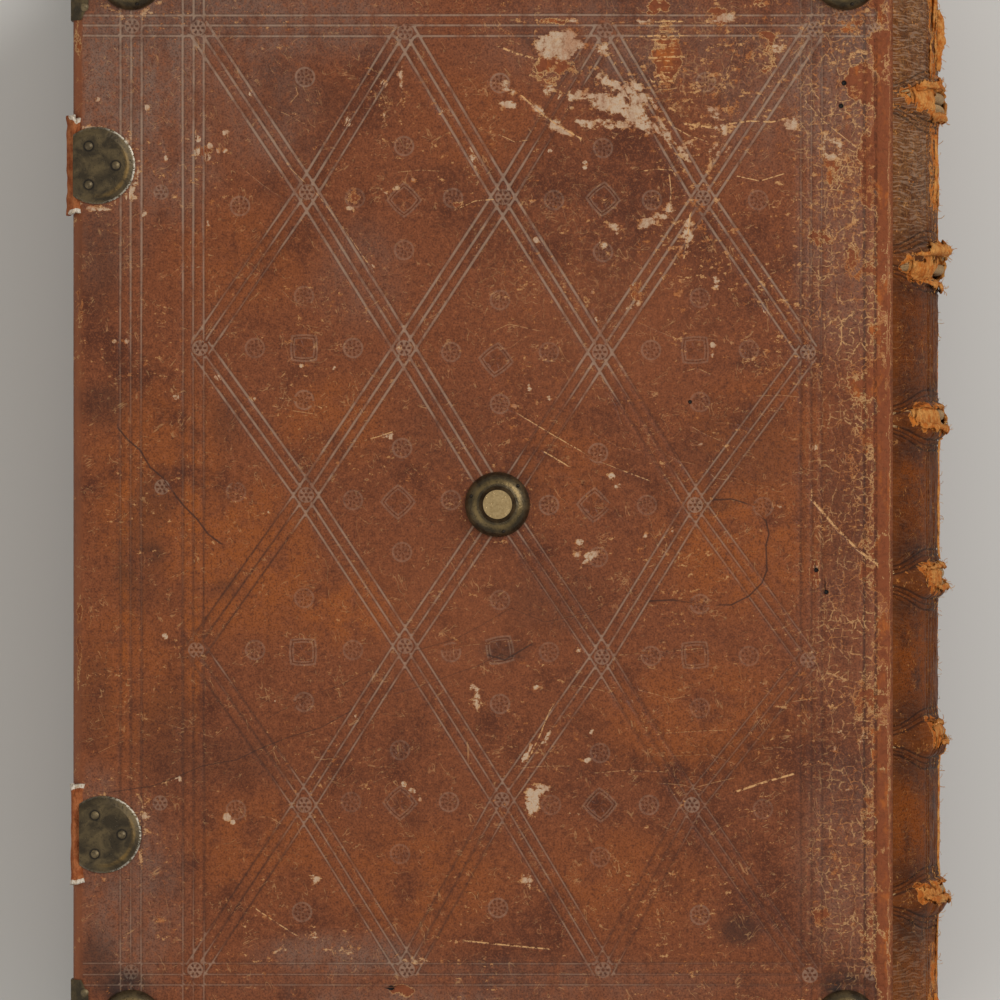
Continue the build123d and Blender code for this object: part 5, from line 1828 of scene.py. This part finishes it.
    def masks(self, flat: np.ndarray, tooled: dict) -> dict:
        """Wear of the spine leather, by attribute name."""
        pixel_y = to_pixels(flat)[:, 1]
        around = np.minimum(flat[:, 0], self.length - flat[:, 0])
        pale_head = 1 - ease(190, 290, pixel_y)
        crest = np.zeros(len(flat))
        foot = np.zeros(len(flat))
        for band in self.sizes.bands:
            gap = np.abs(flat[:, 1] - band)
            crest = np.maximum(crest, 1 - ease(2.0, 8.0, gap))
            foot = np.maximum(foot, (1 - ease(8.0, 20.0, gap)) * ease(5.0, 9.0, gap))
        panel = 1 - np.maximum(crest, foot)
        back = ease(22.0, 31.0, around)
        joint = 1 - ease(2.0, 7.0, around)
        ends = np.maximum(pale_head, ease(905, 960, pixel_y))
        streaks = waves(flat * np.array([1.0, 0.22]), 0.09, 9, 9.0)
        low_edge = 0.14 + 0.30 * ends
        flaking = (self.tear_reach(flat), back * (low_edge + streaks), pale_head * 0.22 + 0.04 * streaks)
        flake = np.maximum.reduce(flaking)
        patches = panel * (0.50 + 0.35 * np.sin(pixel_y / 31.0))
        none = np.zeros(len(flat))
        return {
            "tooling": [tooled["light"] * (0.45 + 0.55 * pale_head), tooled["dark"], none],
            "wear": [0.10 + 0.06 * pale_head + 0.14 * crest, flake, 0.25 * pale_head + 0.15 * back,
                     # fourth wear channel: darker at the feet of the bands and along the spine's middle
                     0.40 * foot * (1 - pale_head) + 0.36 * back * (1 - ends)],
            "tint": [np.maximum(patches, 0.75 * ease(14, 24, around)) * (1 - pale_head),
                     # grey film of dust and painted sheen, strongest at the head
                     np.maximum(pale_head * 0.80, 0.35 * ends) * (1 - 0.6 * back), 0.3 * crest + 0.5 * joint],
            "scars": [tooled["scratch"], tooled["crack"], none],
        }

    def tear_reach(self, flat: np.ndarray) -> np.ndarray:
        """How close each place is to a tear, for the bare rim round it."""
        total = np.zeros(len(flat))
        for outline in self.torn_edges():
            gap = np.min(np.linalg.norm(flat[:, None, :] - outline[None, ::2, :], axis=2), axis=1)
            total = np.maximum(total, 0.72 * (1 - ease(0.6, 3.6, gap)))
        return total

    def build(self, material: Material, flesh: Material) -> Object:
        """Builds the spine leather with its tears cut through.

        Args:
            material: The leather.
            flesh: The torn flesh side.

        Returns:
            The finished piece.
        """
        half = self.sizes.half_height
        edges = self.torn_edges()
        sheet = Sheet((0.5, -half), (self.length - 0.5, half), self.tracks(), [], pitch=1.9, seed=8,
                      extra=edges)
        flat, faces, _ = sheet.triangulate()
        tooled = sheet.tooling(flat)
        near = np.minimum(flat[:, 0], self.length - flat[:, 0])
        tuck = -0.75 * (1 - ease(0.9, 2.6, near))
        ends = -0.9 * (1 - ease(0.0, 2.0, half - np.abs(flat[:, 1]))) ** 2
        rough = waves(flat * np.array([1.0, 0.4]), 0.28, 16, 7.0) * ease(24.0, 34.0, near)
        curl = 0.9 * self.tear_reach(flat) * (0.6 + 0.4 * np.sin(flat[:, 1] * 1.7))
        height = self.rise(flat) + tooled["height"] + rough + tuck + ends + curl
        height += waves(flat, 0.12, 6, 26.0) * ease(1.0, 5.0, near)
        centres = np.array([flat[list(f)].mean(axis=0) for f in faces])
        keep = np.ones(len(faces), bool)
        for outline in edges:
            keep &= ~inside(centres, outline)
        kept = [face for face, good in zip(faces, keep) if good]
        made = make_object("spine_leather_skin", self.place(flat, height), kept, [material, flesh])
        for name, columns in self.masks(flat, tooled).items():
            paint(made, name, columns)
        paint_vector(made, "stamp", tooled["local"])
        paint_vector(made, "flat", np.column_stack([flat, np.zeros(len(flat))]) * MM)
        if made.data.polygons[0].normal.dot(Vector((1, 0, 0))) < 0:
            made.data.flip_normals()
        drop_loose(made)
        return thickened(made, self.thickness, rim_slot=1)

    def lips(self, flesh: Material) -> Object:
        """Builds the leather lips curled back beside the tears and along the spine's back.

        Args:
            flesh: The torn flesh side.

        Returns:
            One piece with all the lips.
        """
        strips = []
        for number, tear in enumerate(self.tears):
            low, high = tear.across
            edge = (high if tear.side > 0 else low) - tear.side * 1.2
            path = wavy((tear.start + 2, edge - tear.side), (tear.end - 3, edge), 0.7, 300 + number)
            strips.append(self.curled(path, (0, tear.side), tear.lip, 400 + number))
            other = (low if tear.side > 0 else high) + tear.side * 1.0
            path = wavy((tear.start + 12, other), (tear.end - 6, other), 0.6, 320 + number)
            strips.append(self.curled(path, (0, -tear.side), tear.lip * 0.55, 420 + number))
            path = wavy((tear.start + 0.6, low + 2.5), (tear.start + 0.6, high - 2.5), 0.6, 340 + number)
            strips.append(self.curled(path, (-1, 0), 0.7, 440 + number))
        for number, ridge in enumerate(self.ridges):
            low, high = from_pixels([(0, ridge.high_pixel), (0, ridge.low_pixel)])[:, 1]
            path = wavy((ridge.around, low), (ridge.around + 1.5, high), 1.3, 360 + number)
            strips.append(self.curled(path, (-ridge.side, 0), ridge.lip, 460 + number))
        return thickened(merged("spine_torn_lips", strips, [flesh]), 0.75)

    def curled(self, path: np.ndarray, across: Point, radius: float, seed: int) -> tuple[np.ndarray, list]:
        """Rolls a ragged strip of leather back from a torn edge.

        Args:
            path: The edge, in flat places of the spine.
            across: The direction in which the strip rolls back.
            radius: The roll's largest radius.
            seed: Seed for its raggedness.

        Returns:
            The strip's places and faces.
        """
        rng = np.random.default_rng(seed)
        length = np.linalg.norm(np.diff(path, axis=0), axis=1).sum()
        count, rows = max(8, int(length / 0.8)), 9
        shares = np.linspace(0, 1, count)
        knots = np.linspace(0, 1, len(path))
        line = np.column_stack([np.interp(shares, knots, path[:, axis]) for axis in (0, 1)])
        wander = np.interp(shares, np.linspace(0, 1, max(4, count // 3)),
                           rng.uniform(-1, 1, max(4, count // 3)))
        ragged = rng.uniform(-1, 1, count)
        swell = np.sqrt(np.sin(pi * np.clip(shares, 0.02, 0.98)))
        sizes = radius * swell * (1 + 0.35 * wander + 0.12 * ragged)
        turns = radians(125) * (1 + 0.22 * np.roll(wander, 3) + 0.10 * ragged)
        line += np.array(across) * (0.35 * wander)[:, None]
        places = []
        for row in range(rows):
            angle = turns * row / (rows - 1)
            step = sizes * (1 - np.cos(angle)) * 0.85
            spot = line + np.array(across) * step[:, None]
            spot[:, 0] = np.clip(spot[:, 0], 1.5, self.length - 1.5)
            lift = self.rise(spot) - 0.25 + sizes * np.sin(angle) * 0.95
            places.append(self.place(spot, lift))
        return np.vstack(places), grid_faces(rows, count)

    def beds(self, flesh: Material) -> Object:
        """Builds the torn inner layer that still covers part of each opening."""
        patches = []
        for number, tear in enumerate(self.tears):
            rng = np.random.default_rng(500 + number)
            low, high = tear.across
            count, rows = 30, 20
            reach = (tear.end - tear.start) * tear.bed
            ragged = np.interp(np.arange(rows), np.linspace(0, rows, 8), rng.uniform(0.75, 1.15, 8))
            spots = np.array([(tear.start - 1.2 + reach * ragged[r] * i / (count - 1),
                               low - 1.0 + (high - low + 2.0) * r / (rows - 1))
                              for r in range(rows) for i in range(count)])
            shares = np.tile(np.arange(count) / (count - 1), rows)
            lump = waves(spots, 0.22, 520 + number, 6.0) + rng.uniform(-0.09, 0.09, len(spots))
            drop = 2.4 * ease(0.72, 1.0, shares)
            places = self.place(spots, self.rise(spots) - 0.75 + lump - drop)
            patches.append((places, grid_faces(rows, count)))
        return thickened(merged("spine_torn_layer", patches, [flesh]), 0.5)


def merged(name: str, parts: Sequence[tuple[np.ndarray, list]], materials: Sequence[Material]
           ) -> Object:
    """Makes one object of several sheets.

    Args:
        name: The object's name.
        parts: Places and faces of each sheet.
        materials: The object's materials.

    Returns:
        The new object.
    """
    places, faces, start = [], [], 0
    for spots, quads in parts:
        places.append(spots)
        faces += [tuple(start + i for i in quad) for quad in quads]
        start += len(spots)
    return make_object(name, np.vstack(places), faces, materials)


def thickened(made: Object, thickness: float, rim_slot: int = 0) -> Object:
    """Gives an open sheet its thickness, inwards from its face.

    Args:
        made: The sheet.
        thickness: Thickness in millimetres.
        rim_slot: How many materials further on the inside and rim take theirs.

    Returns:
        The same object as a closed mesh.
    """
    thick = made.modifiers.new("hide", "SOLIDIFY")
    thick.thickness = thickness * MM
    thick.offset = -1.0
    thick.material_offset = rim_slot
    thick.material_offset_rim = rim_slot
    return flatten(made)


def inside(places: np.ndarray, outline: np.ndarray) -> np.ndarray:
    """Tells which places lie inside an outline."""
    result = np.zeros(len(places), bool)
    x, y = places[:, 0], places[:, 1]
    for (x0, y0), (x1, y1) in zip(outline, np.roll(outline, -1, axis=0)):
        crosses = (y0 > y) != (y1 > y)
        result ^= crosses & (x < (x1 - x0) * (y - y0) / (y1 - y0 + 1e-12) + x0)
    return result


def drop_loose(made: Object) -> None:
    """Deletes vertices that no face uses."""
    work = bmesh.new()
    work.from_mesh(made.data)
    bmesh.ops.delete(work, geom=[v for v in work.verts if not v.link_faces], context="VERTS")
    work.to_mesh(made.data)
    work.free()


@dataclass
class StrapStub:
    """The torn end of a strap, folded over the cover's edge under its plate."""

    sizes: BookSizes
    end: str
    centre_y: float
    under_x: float
    proud: float
    width: float
    seed: int

    def build(self, material: Material) -> Object:
        """Builds the stub.

        Args:
            material: Torn hide with a tawed edge.

        Returns:
            The finished stub.
        """
        rng = np.random.default_rng(self.seed)
        edge, top = self.sizes.fore_x, self.sizes.back_z
        profile = np.array([
            (self.under_x + 3.0, top - 0.9), (self.under_x + 0.8, top + 0.25), (edge + 0.4, top + 0.35),
            (edge - 0.5, top - 0.5), (edge - self.proud + 0.3, top - 1.9), (edge - self.proud, top - 4.0),
            (edge - self.proud + 0.15, top - 7.0), (edge - self.proud + 0.5, top - 11.0)])
        count, rows = 34, 46
        knots = np.linspace(0, 1, len(profile))
        ends = np.interp(np.arange(rows), np.linspace(0, rows, 12), rng.uniform(0.80, 1.0, 12))
        sides = [np.interp(np.arange(count), np.linspace(0, count, 9),
                           rng.uniform(-0.9, 0.9, 9)) for _ in range(2)]
        places, tawed = [], []
        for row in range(rows):
            across = row / (rows - 1)
            for step in range(count):
                along = step / (count - 1) * ends[row]
                x, z = (np.interp(along, knots, profile[:, axis]) for axis in (0, 1))
                y = self.centre_y + (across - 0.5) * self.width
                y += sides[0][step] * (1 - across) + sides[1][step] * across
                lift = 0.5 * max(0.0, abs(across - 0.5) * 2 - 0.82) / 0.18
                places.append((x - lift * 0.8 * (along > 0.25), y, z + lift * (along < 0.5)))
                tawed.append(ease(0.84, 1.0, abs(across - 0.5) * 2) * (1 - ease(0.40, 0.62, along)))
        spots = np.array(places)
        spots[:, 2] += waves(spots[:, :2], 0.14, self.seed, 7.0) * (spots[:, 2] > top - 0.2)
        spots[:, 0] += waves(spots[:, 1:], 0.20, self.seed + 1, 8.0) * (spots[:, 2] < top - 1.0)
        made = make_object(f"strap_stub_{self.end}_torn", spots, grid_faces(rows, count), [material])
        if made.data.polygons[count * rows // 3].normal.x > 0:
            made.data.flip_normals()
        mask = made.data.attributes.new("tawed", "FLOAT", "POINT")
        mask.data.foreach_set("value", np.array(tawed, np.float32))
        return thickened(made, 1.5)


def new_geometry(name: str, inputs: dict[str, str]) -> tuple:
    """Starts a geometry tree.

    Args:
        name: The tree's name.
        inputs: Kind of socket by input name.

    Returns:
        The builder, the tree's inputs and its output node.
    """
    tree = bpy.data.node_groups.new(name, "GeometryNodeTree")
    for label, kind in inputs.items():
        tree.interface.new_socket(name=label, in_out="INPUT", socket_type=kind)
    tree.interface.new_socket(name="Geometry", in_out="OUTPUT", socket_type="NodeSocketGeometry")
    nodes = Nodes(tree)
    return nodes, nodes.add("NodeGroupInput").outputs, nodes.add("NodeGroupOutput")


def run_tree(made: Object, tree: Tree, values: dict[str, object]) -> Object:
    """Runs a geometry tree on an object and keeps the result as plain mesh.

    Args:
        made: The object.
        tree: The geometry tree.
        values: Values by input name.

    Returns:
        The same object.
    """
    modifier = made.modifiers.new(tree.name, "NODES")
    modifier.node_group = tree
    for item in tree.interface.items_tree:
        if item.item_type == "SOCKET" and item.in_out == "INPUT" and item.name in values:
            modifier[item.identifier] = values[item.name]
    return flatten(made)


@dataclass
class PageLeaves:
    """The edges of the leaves, standing a little proud of the text block."""

    sizes: BookSizes
    count: int = 118
    half_block: float = 37.5
    hollow: float = 9.0
    thickness: float = 0.34
    jitter: float = 0.22

    def build(self, material: Material) -> Object:
        """Builds the leaves with a geometry tree.

        Args:
            material: The paper.

        Returns:
            The finished leaves.
        """
        low, high = self.sizes.text_low, self.sizes.text_high
        bottom = self.sizes.middle_z - self.half_block + self.thickness
        step = 2 * (self.half_block - self.thickness) / (self.count - 1)
        nodes, given, result = new_geometry("page_leaves", {
            "Geometry": GEOMETRY, "Count": INTEGER, "Step": FLOAT, "Size": VECTOR, "Middle": VECTOR,
            "Hollow": FLOAT, "Half thickness": FLOAT, "Jitter": FLOAT, "Seed": INTEGER, "Material": MATERIAL})
        row = {"Count": given["Count"], "Offset": nodes.combine(z=given["Step"])}
        line = nodes.first("GeometryNodeMeshLine", row)
        leaf = nodes.first("GeometryNodeMeshCube", {"Size": given["Size"], "Vertices X": 2, "Vertices Y": 8})
        spread = nodes.combine(given["Jitter"], given["Jitter"])
        reach = {"Min": nodes.stretch(spread, -1.0, -1.0, 0.0), "Max": spread, "Seed": given["Seed"]}
        shift = nodes.first("FunctionNodeRandomValue", reach, data_type="FLOAT_VECTOR")
        stack = {"Instances": nodes.scatter(line, leaf), "Translation": shift}
        leaves = nodes.real(nodes.first("GeometryNodeTranslateInstances", stack))
        x, _, z = nodes.split(nodes.first("GeometryNodeInputPosition"))
        total = nodes.times(given["Step"], given["Count"])
        share = nodes.math("DIVIDE", nodes.minus(z, nodes.times(total, 0.5)), given["Half thickness"])
        curve = nodes.minus(1.0, nodes.times(share, share), clamp=True)
        push = nodes.times(nodes.times(curve, given["Hollow"]), nodes.math("LESS_THAN", x, 0.0))
        hollowed = nodes.first("GeometryNodeSetPosition", {"Geometry": leaves, "Offset": nodes.combine(push)})
        home = nodes.first("GeometryNodeTransform", {"Geometry": hollowed, "Translation": given["Middle"]})
        nodes.finish(result, home, given["Material"])
        inner_x = self.sizes.hinge_x - 2.0
        width = inner_x - low.x
        size = Vector((width + 0.25, high.y - low.y + 0.3, self.thickness)) * MM
        middle = Vector(((low.x - 0.25 + inner_x) / 2, 0.0, bottom)) * MM
        made = make_object("page_leaves", np.zeros((1, 3)), [], [material])
        return run_tree(made, nodes.tree, {
            "Count": self.count, "Step": step * MM, "Size": tuple(size), "Middle": tuple(middle),
            "Hollow": self.hollow * MM, "Half thickness": self.half_block * MM, "Jitter": self.jitter * MM,
            "Seed": 4, "Material": material})


@dataclass
class BossPins:
    """The small dark pins that hold each boss down through its flange."""

    name: str
    centres: list[tuple[float, float, float]]
    reach: float = 9.9
    radius: float = 0.72
    turn: float = 0.74

    def build(self, material: Material) -> Object:
        """Builds the pins with a geometry tree.

        Args:
            material: Dark metal.

        Returns:
            The finished pins.
        """
        nodes, given, result = new_geometry("boss_pins", {
            "Geometry": GEOMETRY, "Reach": FLOAT, "Radius": FLOAT, "Turn": FLOAT, "Material": MATERIAL})
        ring = nodes.first("GeometryNodeMeshCircle", {"Vertices": 3, "Radius": given["Reach"]})
        rings = nodes.scatter(given["Geometry"], ring, Rotation=nodes.combine(z=given["Turn"]))
        pin = nodes.first("GeometryNodeMeshUVSphere", {"Segments": 12, "Rings": 8, "Radius": given["Radius"]})
        pins = nodes.scatter(nodes.real(rings), pin)
        nodes.finish(result, nodes.real(pins), given["Material"])
        made = make_object(self.name, np.array(self.centres), [], [material])
        return run_tree(made, nodes.tree, {"Reach": self.reach * MM, "Radius": self.radius * MM,
                                           "Turn": self.turn, "Material": material})


@dataclass
class TornFibres:
    """Fine fibres standing from the torn leather."""

    density: float = 170000.0
    length: float = 2.2
    thickness: float = 0.09

    def build(self, torn: Object, material: Material) -> Object:
        """Scatters fibres over a torn piece with a geometry tree.

        Args:
            torn: The piece they stand on.
            material: The fibres' finish.

        Returns:
            The fibres as a piece of their own.
        """
        nodes, given, result = new_geometry("torn_fibres", {
            "Geometry": GEOMETRY, "Density": FLOAT, "Length": FLOAT, "Thickness": FLOAT, "Seed": INTEGER,
            "Material": MATERIAL})
        length, seed = given["Length"], given["Seed"]
        roots = {"Mesh": given["Geometry"], "Density": given["Density"], "Seed": seed}
        points = nodes.add("GeometryNodeDistributePointsOnFaces", roots).outputs
        bend = nodes.combine(nodes.times(length, 0.35), z=nodes.times(length, 0.6))
        tip = nodes.combine(nodes.times(length, 0.9), z=nodes.times(length, 0.5))
        course = {"Resolution": 4, "Start": (0.0, 0.0, 0.0), "Middle": bend, "End": tip}
        arc = nodes.first("GeometryNodeCurveQuadraticBezier", course)
        profile = nodes.first("GeometryNodeCurvePrimitiveCircle",
                              {"Resolution": 4, "Radius": given["Thickness"]})
        tube = nodes.first("GeometryNodeCurveToMesh",
                           {"Curve": arc, "Profile Curve": profile, "Fill Caps": True})
        swing = {"Min": (-0.6, -0.6, 0.0), "Max": (0.6, 0.6, 6.28), "Seed": seed}
        spin = nodes.first("FunctionNodeRandomValue", swing, data_type="FLOAT_VECTOR")
        size = nodes.add("FunctionNodeRandomValue", {"Seed": seed}, data_type="FLOAT")
        for socket, value in zip([s for s in size.inputs if s.type == "VALUE"], (0.35, 1.2)):
            socket.default_value = value
        grown = next(s for s in size.outputs if s.type == "VALUE" and s.enabled)
        lean = {"Rotation": points["Rotation"], "Rotate By": spin}
        leaning = nodes.first("FunctionNodeRotateRotation", lean, rotation_space="LOCAL")
        hairs = nodes.scatter(points["Points"], tube, Rotation=leaning, Scale=grown)
        nodes.finish(result, nodes.real(hairs), given["Material"])
        made = bpy.data.objects.new("spine_torn_fibres", torn.data.copy())
        bpy.context.scene.collection.objects.link(made)
        return run_tree(made, nodes.tree, {"Density": self.density, "Length": self.length * MM,
                                           "Thickness": self.thickness * MM, "Seed": 9, "Material": material})


@dataclass
class Stage:
    """Floor, light and camera."""

    sizes: BookSizes
    field_width: float = 360.0
    distance: float = 2500.0
    sensor: float = 36.0
    floor_reach: float = 4000.0

    def build(self) -> None:
        """Makes the floor, the lamps, the world and the camera."""
        scene = bpy.context.scene
        scene.view_settings.view_transform = "Standard"
        corners = np.array([(-1, -1, 0), (1, -1, 0), (1, 1, 0), (-1, 1, 0)]) * self.floor_reach - (0, 0, 0.02)
        floor = make_object("floor", corners, [(0, 1, 2, 3)], [self.floor_material()])
        self.lamp("window", (1.5, 0.9, 1.9), 1.3, 33.0)
        self.lamp("fill", (-1.6, -1.2, 2.0), 2.2, 12.0)
        world = bpy.data.worlds.new("studio")
        world.use_nodes = True
        background = world.node_tree.nodes["Background"]
        background.inputs["Color"].default_value = (1.0, 0.98, 0.94, 1.0)
        background.inputs["Strength"].default_value = 0.55
        scene.world = world
        camera = bpy.data.cameras.new("camera")
        camera.sensor_width = self.sensor
        camera.lens = self.sensor * self.distance / self.field_width
        camera.clip_start = 0.05
        camera.clip_end = 50.0
        holder = bpy.data.objects.new("camera", camera)
        centre_x = (PIXEL_Y_AT_ORIGIN - PIXEL_X_AT_ORIGIN) * MM_PER_PIXEL
        holder.location = Vector((centre_x, 0.0, self.sizes.back_z + self.distance)) * MM
        scene.collection.objects.link(holder)
        scene.camera = holder

    @staticmethod
    def lamp(name: str, place: tuple[float, float, float], size: float, power: float) -> None:
        """Adds a soft square lamp that points at the book."""
        light = bpy.data.lights.new(name, "AREA")
        light.size = size
        light.energy = power
        holder = bpy.data.objects.new(name, light)
        holder.location = place
        holder.rotation_euler = (Vector((0, 0, 0.05)) - Vector(place)).to_track_quat("-Z", "Y").to_euler()
        bpy.context.scene.collection.objects.link(holder)

    @staticmethod
    def floor_material() -> Material:
        """Plain pale matt floor."""
        material, _, shader = new_material("floor")
        shader.inputs["Base Color"].default_value = srgb(205, 203, 199)
        shader.inputs["Roughness"].default_value = 0.9
        return material


def dress(node: str, material: Material) -> None:
    """Gives a CAD node its finish."""
    piece = frame["nodes"][node]
    piece.data.materials.clear()
    piece.data.materials.append(material)


def report(piece: Object) -> None:
    """Logs a finished piece and how many triangles it has."""
    log.info("%s: %d triangles", piece.name, sum(len(p.vertices) - 2 for p in piece.data.polygons))


KNOB_RISE = 11.0


def make_finishes(sizes: BookSizes) -> dict[str, Material]:
    """Builds the book's materials.

    Args:
        sizes: The book's sizes.

    Returns:
        The materials by the part they are for.
    """
    shared = SharedEffects()
    knob_level = (sizes.back_z + KNOB_RISE) * MM - MIDDLE_HEIGHT
    spine = LeatherFinish(
        "spine_leather", deep=srgb(48, 19, 4), body=srgb(90, 42, 9), warm=srgb(128, 62, 8),
        dust_and_sheen=srgb(126, 88, 54),
        rubbed=srgb(108, 58, 24), tan=srgb(206, 146, 82), flesh=srgb(170, 92, 34), orange=srgb(196, 116, 44),
        dark_line=srgb(22, 12, 9), patch_scale=190.0, shine=0.06, wrinkle=0.42)
    others = {
        "flesh": SuedeFinish(),
        "fibre": SuedeFinish("torn_fibres", orange=srgb(198, 126, 58), tan=srgb(224, 178, 112)),
        "strap": SuedeFinish("torn_strap", orange=srgb(142, 74, 40), tan=srgb(172, 104, 62),
                             tawed_level=0.46),
        "brass": BrassFinish("plate_brass"),
        "nail": BrassFinish("nail_brass", patina=srgb(88, 76, 56), metal=srgb(132, 114, 82)),
        "iron": BrassFinish("pin_iron", patina=srgb(34, 29, 25), metal=srgb(56, 48, 38)),
        "boss": BrassFinish("boss_brass", knob_level=knob_level, edge_shine=0.36),
        "paper": PaperFinish("page_edges", leaf_pitch=0.0005),
        "pastedown": PaperFinish("pastedown"),
        "wood": WoodFinish(),
        "cord": CordFinish("hemp_cord"),
        "linen": CordFinish("lining_linen", twist_scale=1100.0),
    }
    made = {"cover": LeatherFinish("tooled_leather").build(shared), "spine": spine.build(shared)}
    made.update((part, finish.build()) for part, finish in others.items())
    return made


CORNER_RADIUS = 2.0


def build_covers(sizes: BookSizes, leather: Material) -> None:
    """Builds the leather of both covers.

    Args:
        sizes: The book's sizes.
        leather: The covers' leather.
    """
    tooling, wear = BackTooling(), BackWear()
    low = (sizes.fore_x + CoverSkin.bevel, -sizes.half_height + CoverSkin.bevel)
    high = (sizes.hinge_x + CoverSkin.lip, sizes.half_height - CoverSkin.bevel)
    back_sheet = Sheet(low, high, tooling.tracks() + wear.tracks(), tooling.stamps(), corner=CORNER_RADIUS,
                       extra=wear.fine_places())
    front_tooling = FrontTooling(sizes)
    front_sheet = Sheet(low, high, front_tooling.tracks(), front_tooling.stamps(), pitch=2.6, seed=6,
                        corner=CORNER_RADIUS)
    for side, sheet, masks, level in ((Side.BACK, back_sheet, back_masks(sizes, wear), sizes.back_z),
                                      (Side.FRONT, front_sheet, front_masks(sizes), sizes.front_z)):
        skin = CoverSkin(sizes, side).build(sheet, masks, leather)
        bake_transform(skin)
        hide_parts(f"{side.value}_leather")
        report(skin)


def build_block(sizes: BookSizes, finishes: dict[str, Material]) -> None:
    """Builds the torn spine leather and the leaves, which ride on the text block.

    Args:
        sizes: The book's sizes.
        finishes: Materials by the part they are for.
    """
    skin_maker, flesh = SpineSkin(sizes), finishes["flesh"]
    spine = skin_maker.build(finishes["spine"], flesh)
    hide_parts("spine_leather")
    lips = skin_maker.lips(flesh)
    torn_pieces = [spine, lips, skin_maker.beds(flesh), TornFibres().build(lips, finishes["fibre"])]
    for piece in torn_pieces:
        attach(piece, "text_block")
        report(piece)
    leaves = PageLeaves(sizes).build(finishes["paper"])
    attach(leaves, "text_block")
    report(leaves)


PIN_RISE = 3.5


def build_fittings(sizes: BookSizes, finishes: dict[str, Material]) -> None:
    """Builds the torn strap ends and the bosses' pins.

    Args:
        sizes: The book's sizes.
        finishes: Materials by the part they are for.
    """
    stub_nodes = {"head": (120.4, 2.3, 34.5), "tail": (-120.4, 0.7, 35.0)}
    for number, (end, (centre_y, proud, width)) in enumerate(stub_nodes.items()):
        flat_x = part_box(f"strap_plate_{end}")[0].x / MM
        stub = StrapStub(sizes, end, centre_y, flat_x, proud, width, 60 + number).build(finishes["strap"])
        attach(stub, "back_cover")
        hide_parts(f"strap_stub_{end}")
        report(stub)
    for side in Side:
        level = sizes.back_z + PIN_RISE if side is Side.BACK else sizes.front_z - PIN_RISE
        boxes = [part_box(name) for name in frame["nodes"] if name.startswith(f"{side.value}_boss")]
        centres = [((low.x + high.x) / 2 / MM, (low.y + high.y) / 2 / MM, level) for low, high in boxes]
        pins = BossPins(f"{side.value}_boss_pins", centres).build(finishes["iron"])
        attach(pins, f"{side.value}_cover")
        report(pins)


PLATE_AXIS_INSET = 8.5
PLATE_RING_INSET = 13.9
PLATE_NAILS = ((-2.78, 6.95), (-2.78, -6.95), (6.95, 0.0))


def plate_finish(name: str) -> Material:
    """The finish of one strap plate, with grime and painted shade round its nails, a painted highlight on its
    ring, and pale dust with a painted highlight at its edge.
    """
    low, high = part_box(name)
    axis_x, axis_y = low.x / MM + PLATE_AXIS_INSET, (low.y + high.y) / 2 / MM
    spots = tuple((axis_x + x, axis_y + y) for x, y in PLATE_NAILS)
    centre = (high.x / MM - PLATE_RING_INSET, axis_y)
    return BrassFinish(f"{name}_brass", nail_spots=spots, centre=centre).build()


FINISH_BY_WORD = {
    "boss": "boss", "nails": "nail", "plate": "brass", "guard": "brass", "slips": "cord", "support": "cord",
    "endband": "cord", "pegs": "wood", "_board": "wood", "linings": "linen", "pastedown": "pastedown",
    "stub": "flesh", "text_block": "paper"}


def dress_nodes(finishes: dict[str, Material]) -> None:
    """Gives every CAD node the finish of the first word that its name holds."""
    for name in frame["nodes"]:
        part = next((part for word, part in FINISH_BY_WORD.items() if word in name), None)
        if name.startswith("strap_plate") and part == "brass":
            dress(name, plate_finish(name))
        elif part:
            dress(name, finishes[part])


def main() -> None:
    """Builds the book's pieces in order and reports each."""
    logging.basicConfig(level=logging.INFO, format="%(name)s: %(message)s")
    sizes = BookSizes.from_frame()
    Stage(sizes).build()
    finishes = make_finishes(sizes)
    build_covers(sizes, finishes["cover"])
    build_block(sizes, finishes)
    build_fittings(sizes, finishes)
    dress_nodes(finishes)


if __name__ == "__main__":
    main()
